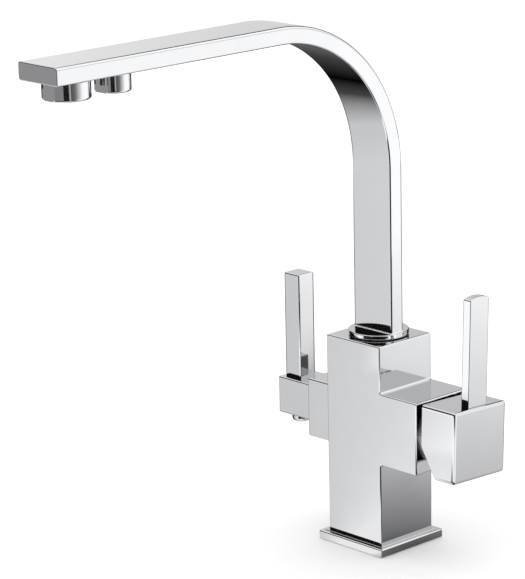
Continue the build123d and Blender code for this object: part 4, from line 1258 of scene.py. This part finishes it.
def place_camera(scene, stage):
    """The camera at its turn and height about the target, rolled about its own axis."""
    lens = bpy.data.cameras.new("camera")
    lens.lens = stage.camera_lens
    lens.sensor_width = SENSOR_WIDTH
    lens.clip_start, lens.clip_end = CAMERA_RANGE
    turn, rise, roll = stage.camera_azimuth, stage.camera_elevation, stage.camera_roll
    back = Vector((sin(turn) * cos(rise), -cos(turn) * cos(rise), sin(rise)))
    across = Vector((cos(turn), sin(turn), 0.0))
    upward = back.cross(across)
    leaned_across = across * cos(roll) + upward * sin(roll)
    leaned_upward = upward * cos(roll) - across * sin(roll)
    rotation = Matrix((leaned_across, leaned_upward, back)).transposed().to_4x4()
    place = Vector(stage.camera_target) + back * stage.camera_distance
    camera = bpy.data.objects.new("camera", lens)
    camera.matrix_world = Matrix.Translation(place) @ rotation
    scene.collection.objects.link(camera)
    scene.camera = camera


class TAP_OT_stage(bpy.types.Operator):
    """Set out the floor, the light and the camera"""

    bl_idname = "tap.stage"
    bl_label = "Stage"

    def execute(self, context):
        scene = context.scene
        stage = scene.tap.stage
        lay_floor(scene, stage)
        set_floor_cards()
        set_wall_cards()
        light_surround(scene, stage)
        place_camera(scene, stage)
        scene.view_settings.view_transform = "Standard"
        return {"FINISHED"}


# ---------------------------------------------------------------- panel and registration


class TAP_PT_pieces(bpy.types.Panel):
    """Lists the steps that dress the tap"""

    bl_label = "Three Way Tap"
    bl_idname = "TAP_PT_pieces"
    bl_space_type = "VIEW_3D"
    bl_region_type = "UI"
    bl_category = "Tap"

    def draw(self, context):
        for operator in OPERATORS:
            self.layout.operator(operator.bl_idname)


OPERATORS = (
    TAP_OT_finishes, TAP_OT_spout, TAP_OT_mixer_handle, TAP_OT_levers, TAP_OT_outlets, TAP_OT_foot,
    TAP_OT_threads, TAP_OT_stage,
)
SETTINGS = (
    FinishSettings, StageSettings, SpoutSettings, MixerHandleSettings, MixerCoverSettings,
    LeverSettings, OutletSettings, FootSettings, ThreadSettings, TapSettings,
)
CLASSES = (*SETTINGS, *OPERATORS, TAP_PT_pieces)


def register():
    """Add the settings, the operators and the panel."""
    for cls in CLASSES:
        bpy.utils.register_class(cls)
    bpy.types.Scene.tap = PointerProperty(type=TapSettings)


def unregister():
    """Take them away again."""
    del bpy.types.Scene.tap
    for cls in reversed(CLASSES):
        bpy.utils.unregister_class(cls)


def main():
    """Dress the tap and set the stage."""
    register()
    bpy.ops.tap.finishes()
    bpy.ops.tap.spout()
    bpy.ops.tap.mixer_handle()
    bpy.ops.tap.levers()
    bpy.ops.tap.outlets()
    bpy.ops.tap.foot()
    bpy.ops.tap.threads()
    bpy.ops.tap.stage()


if __name__ == "__main__":
    main()
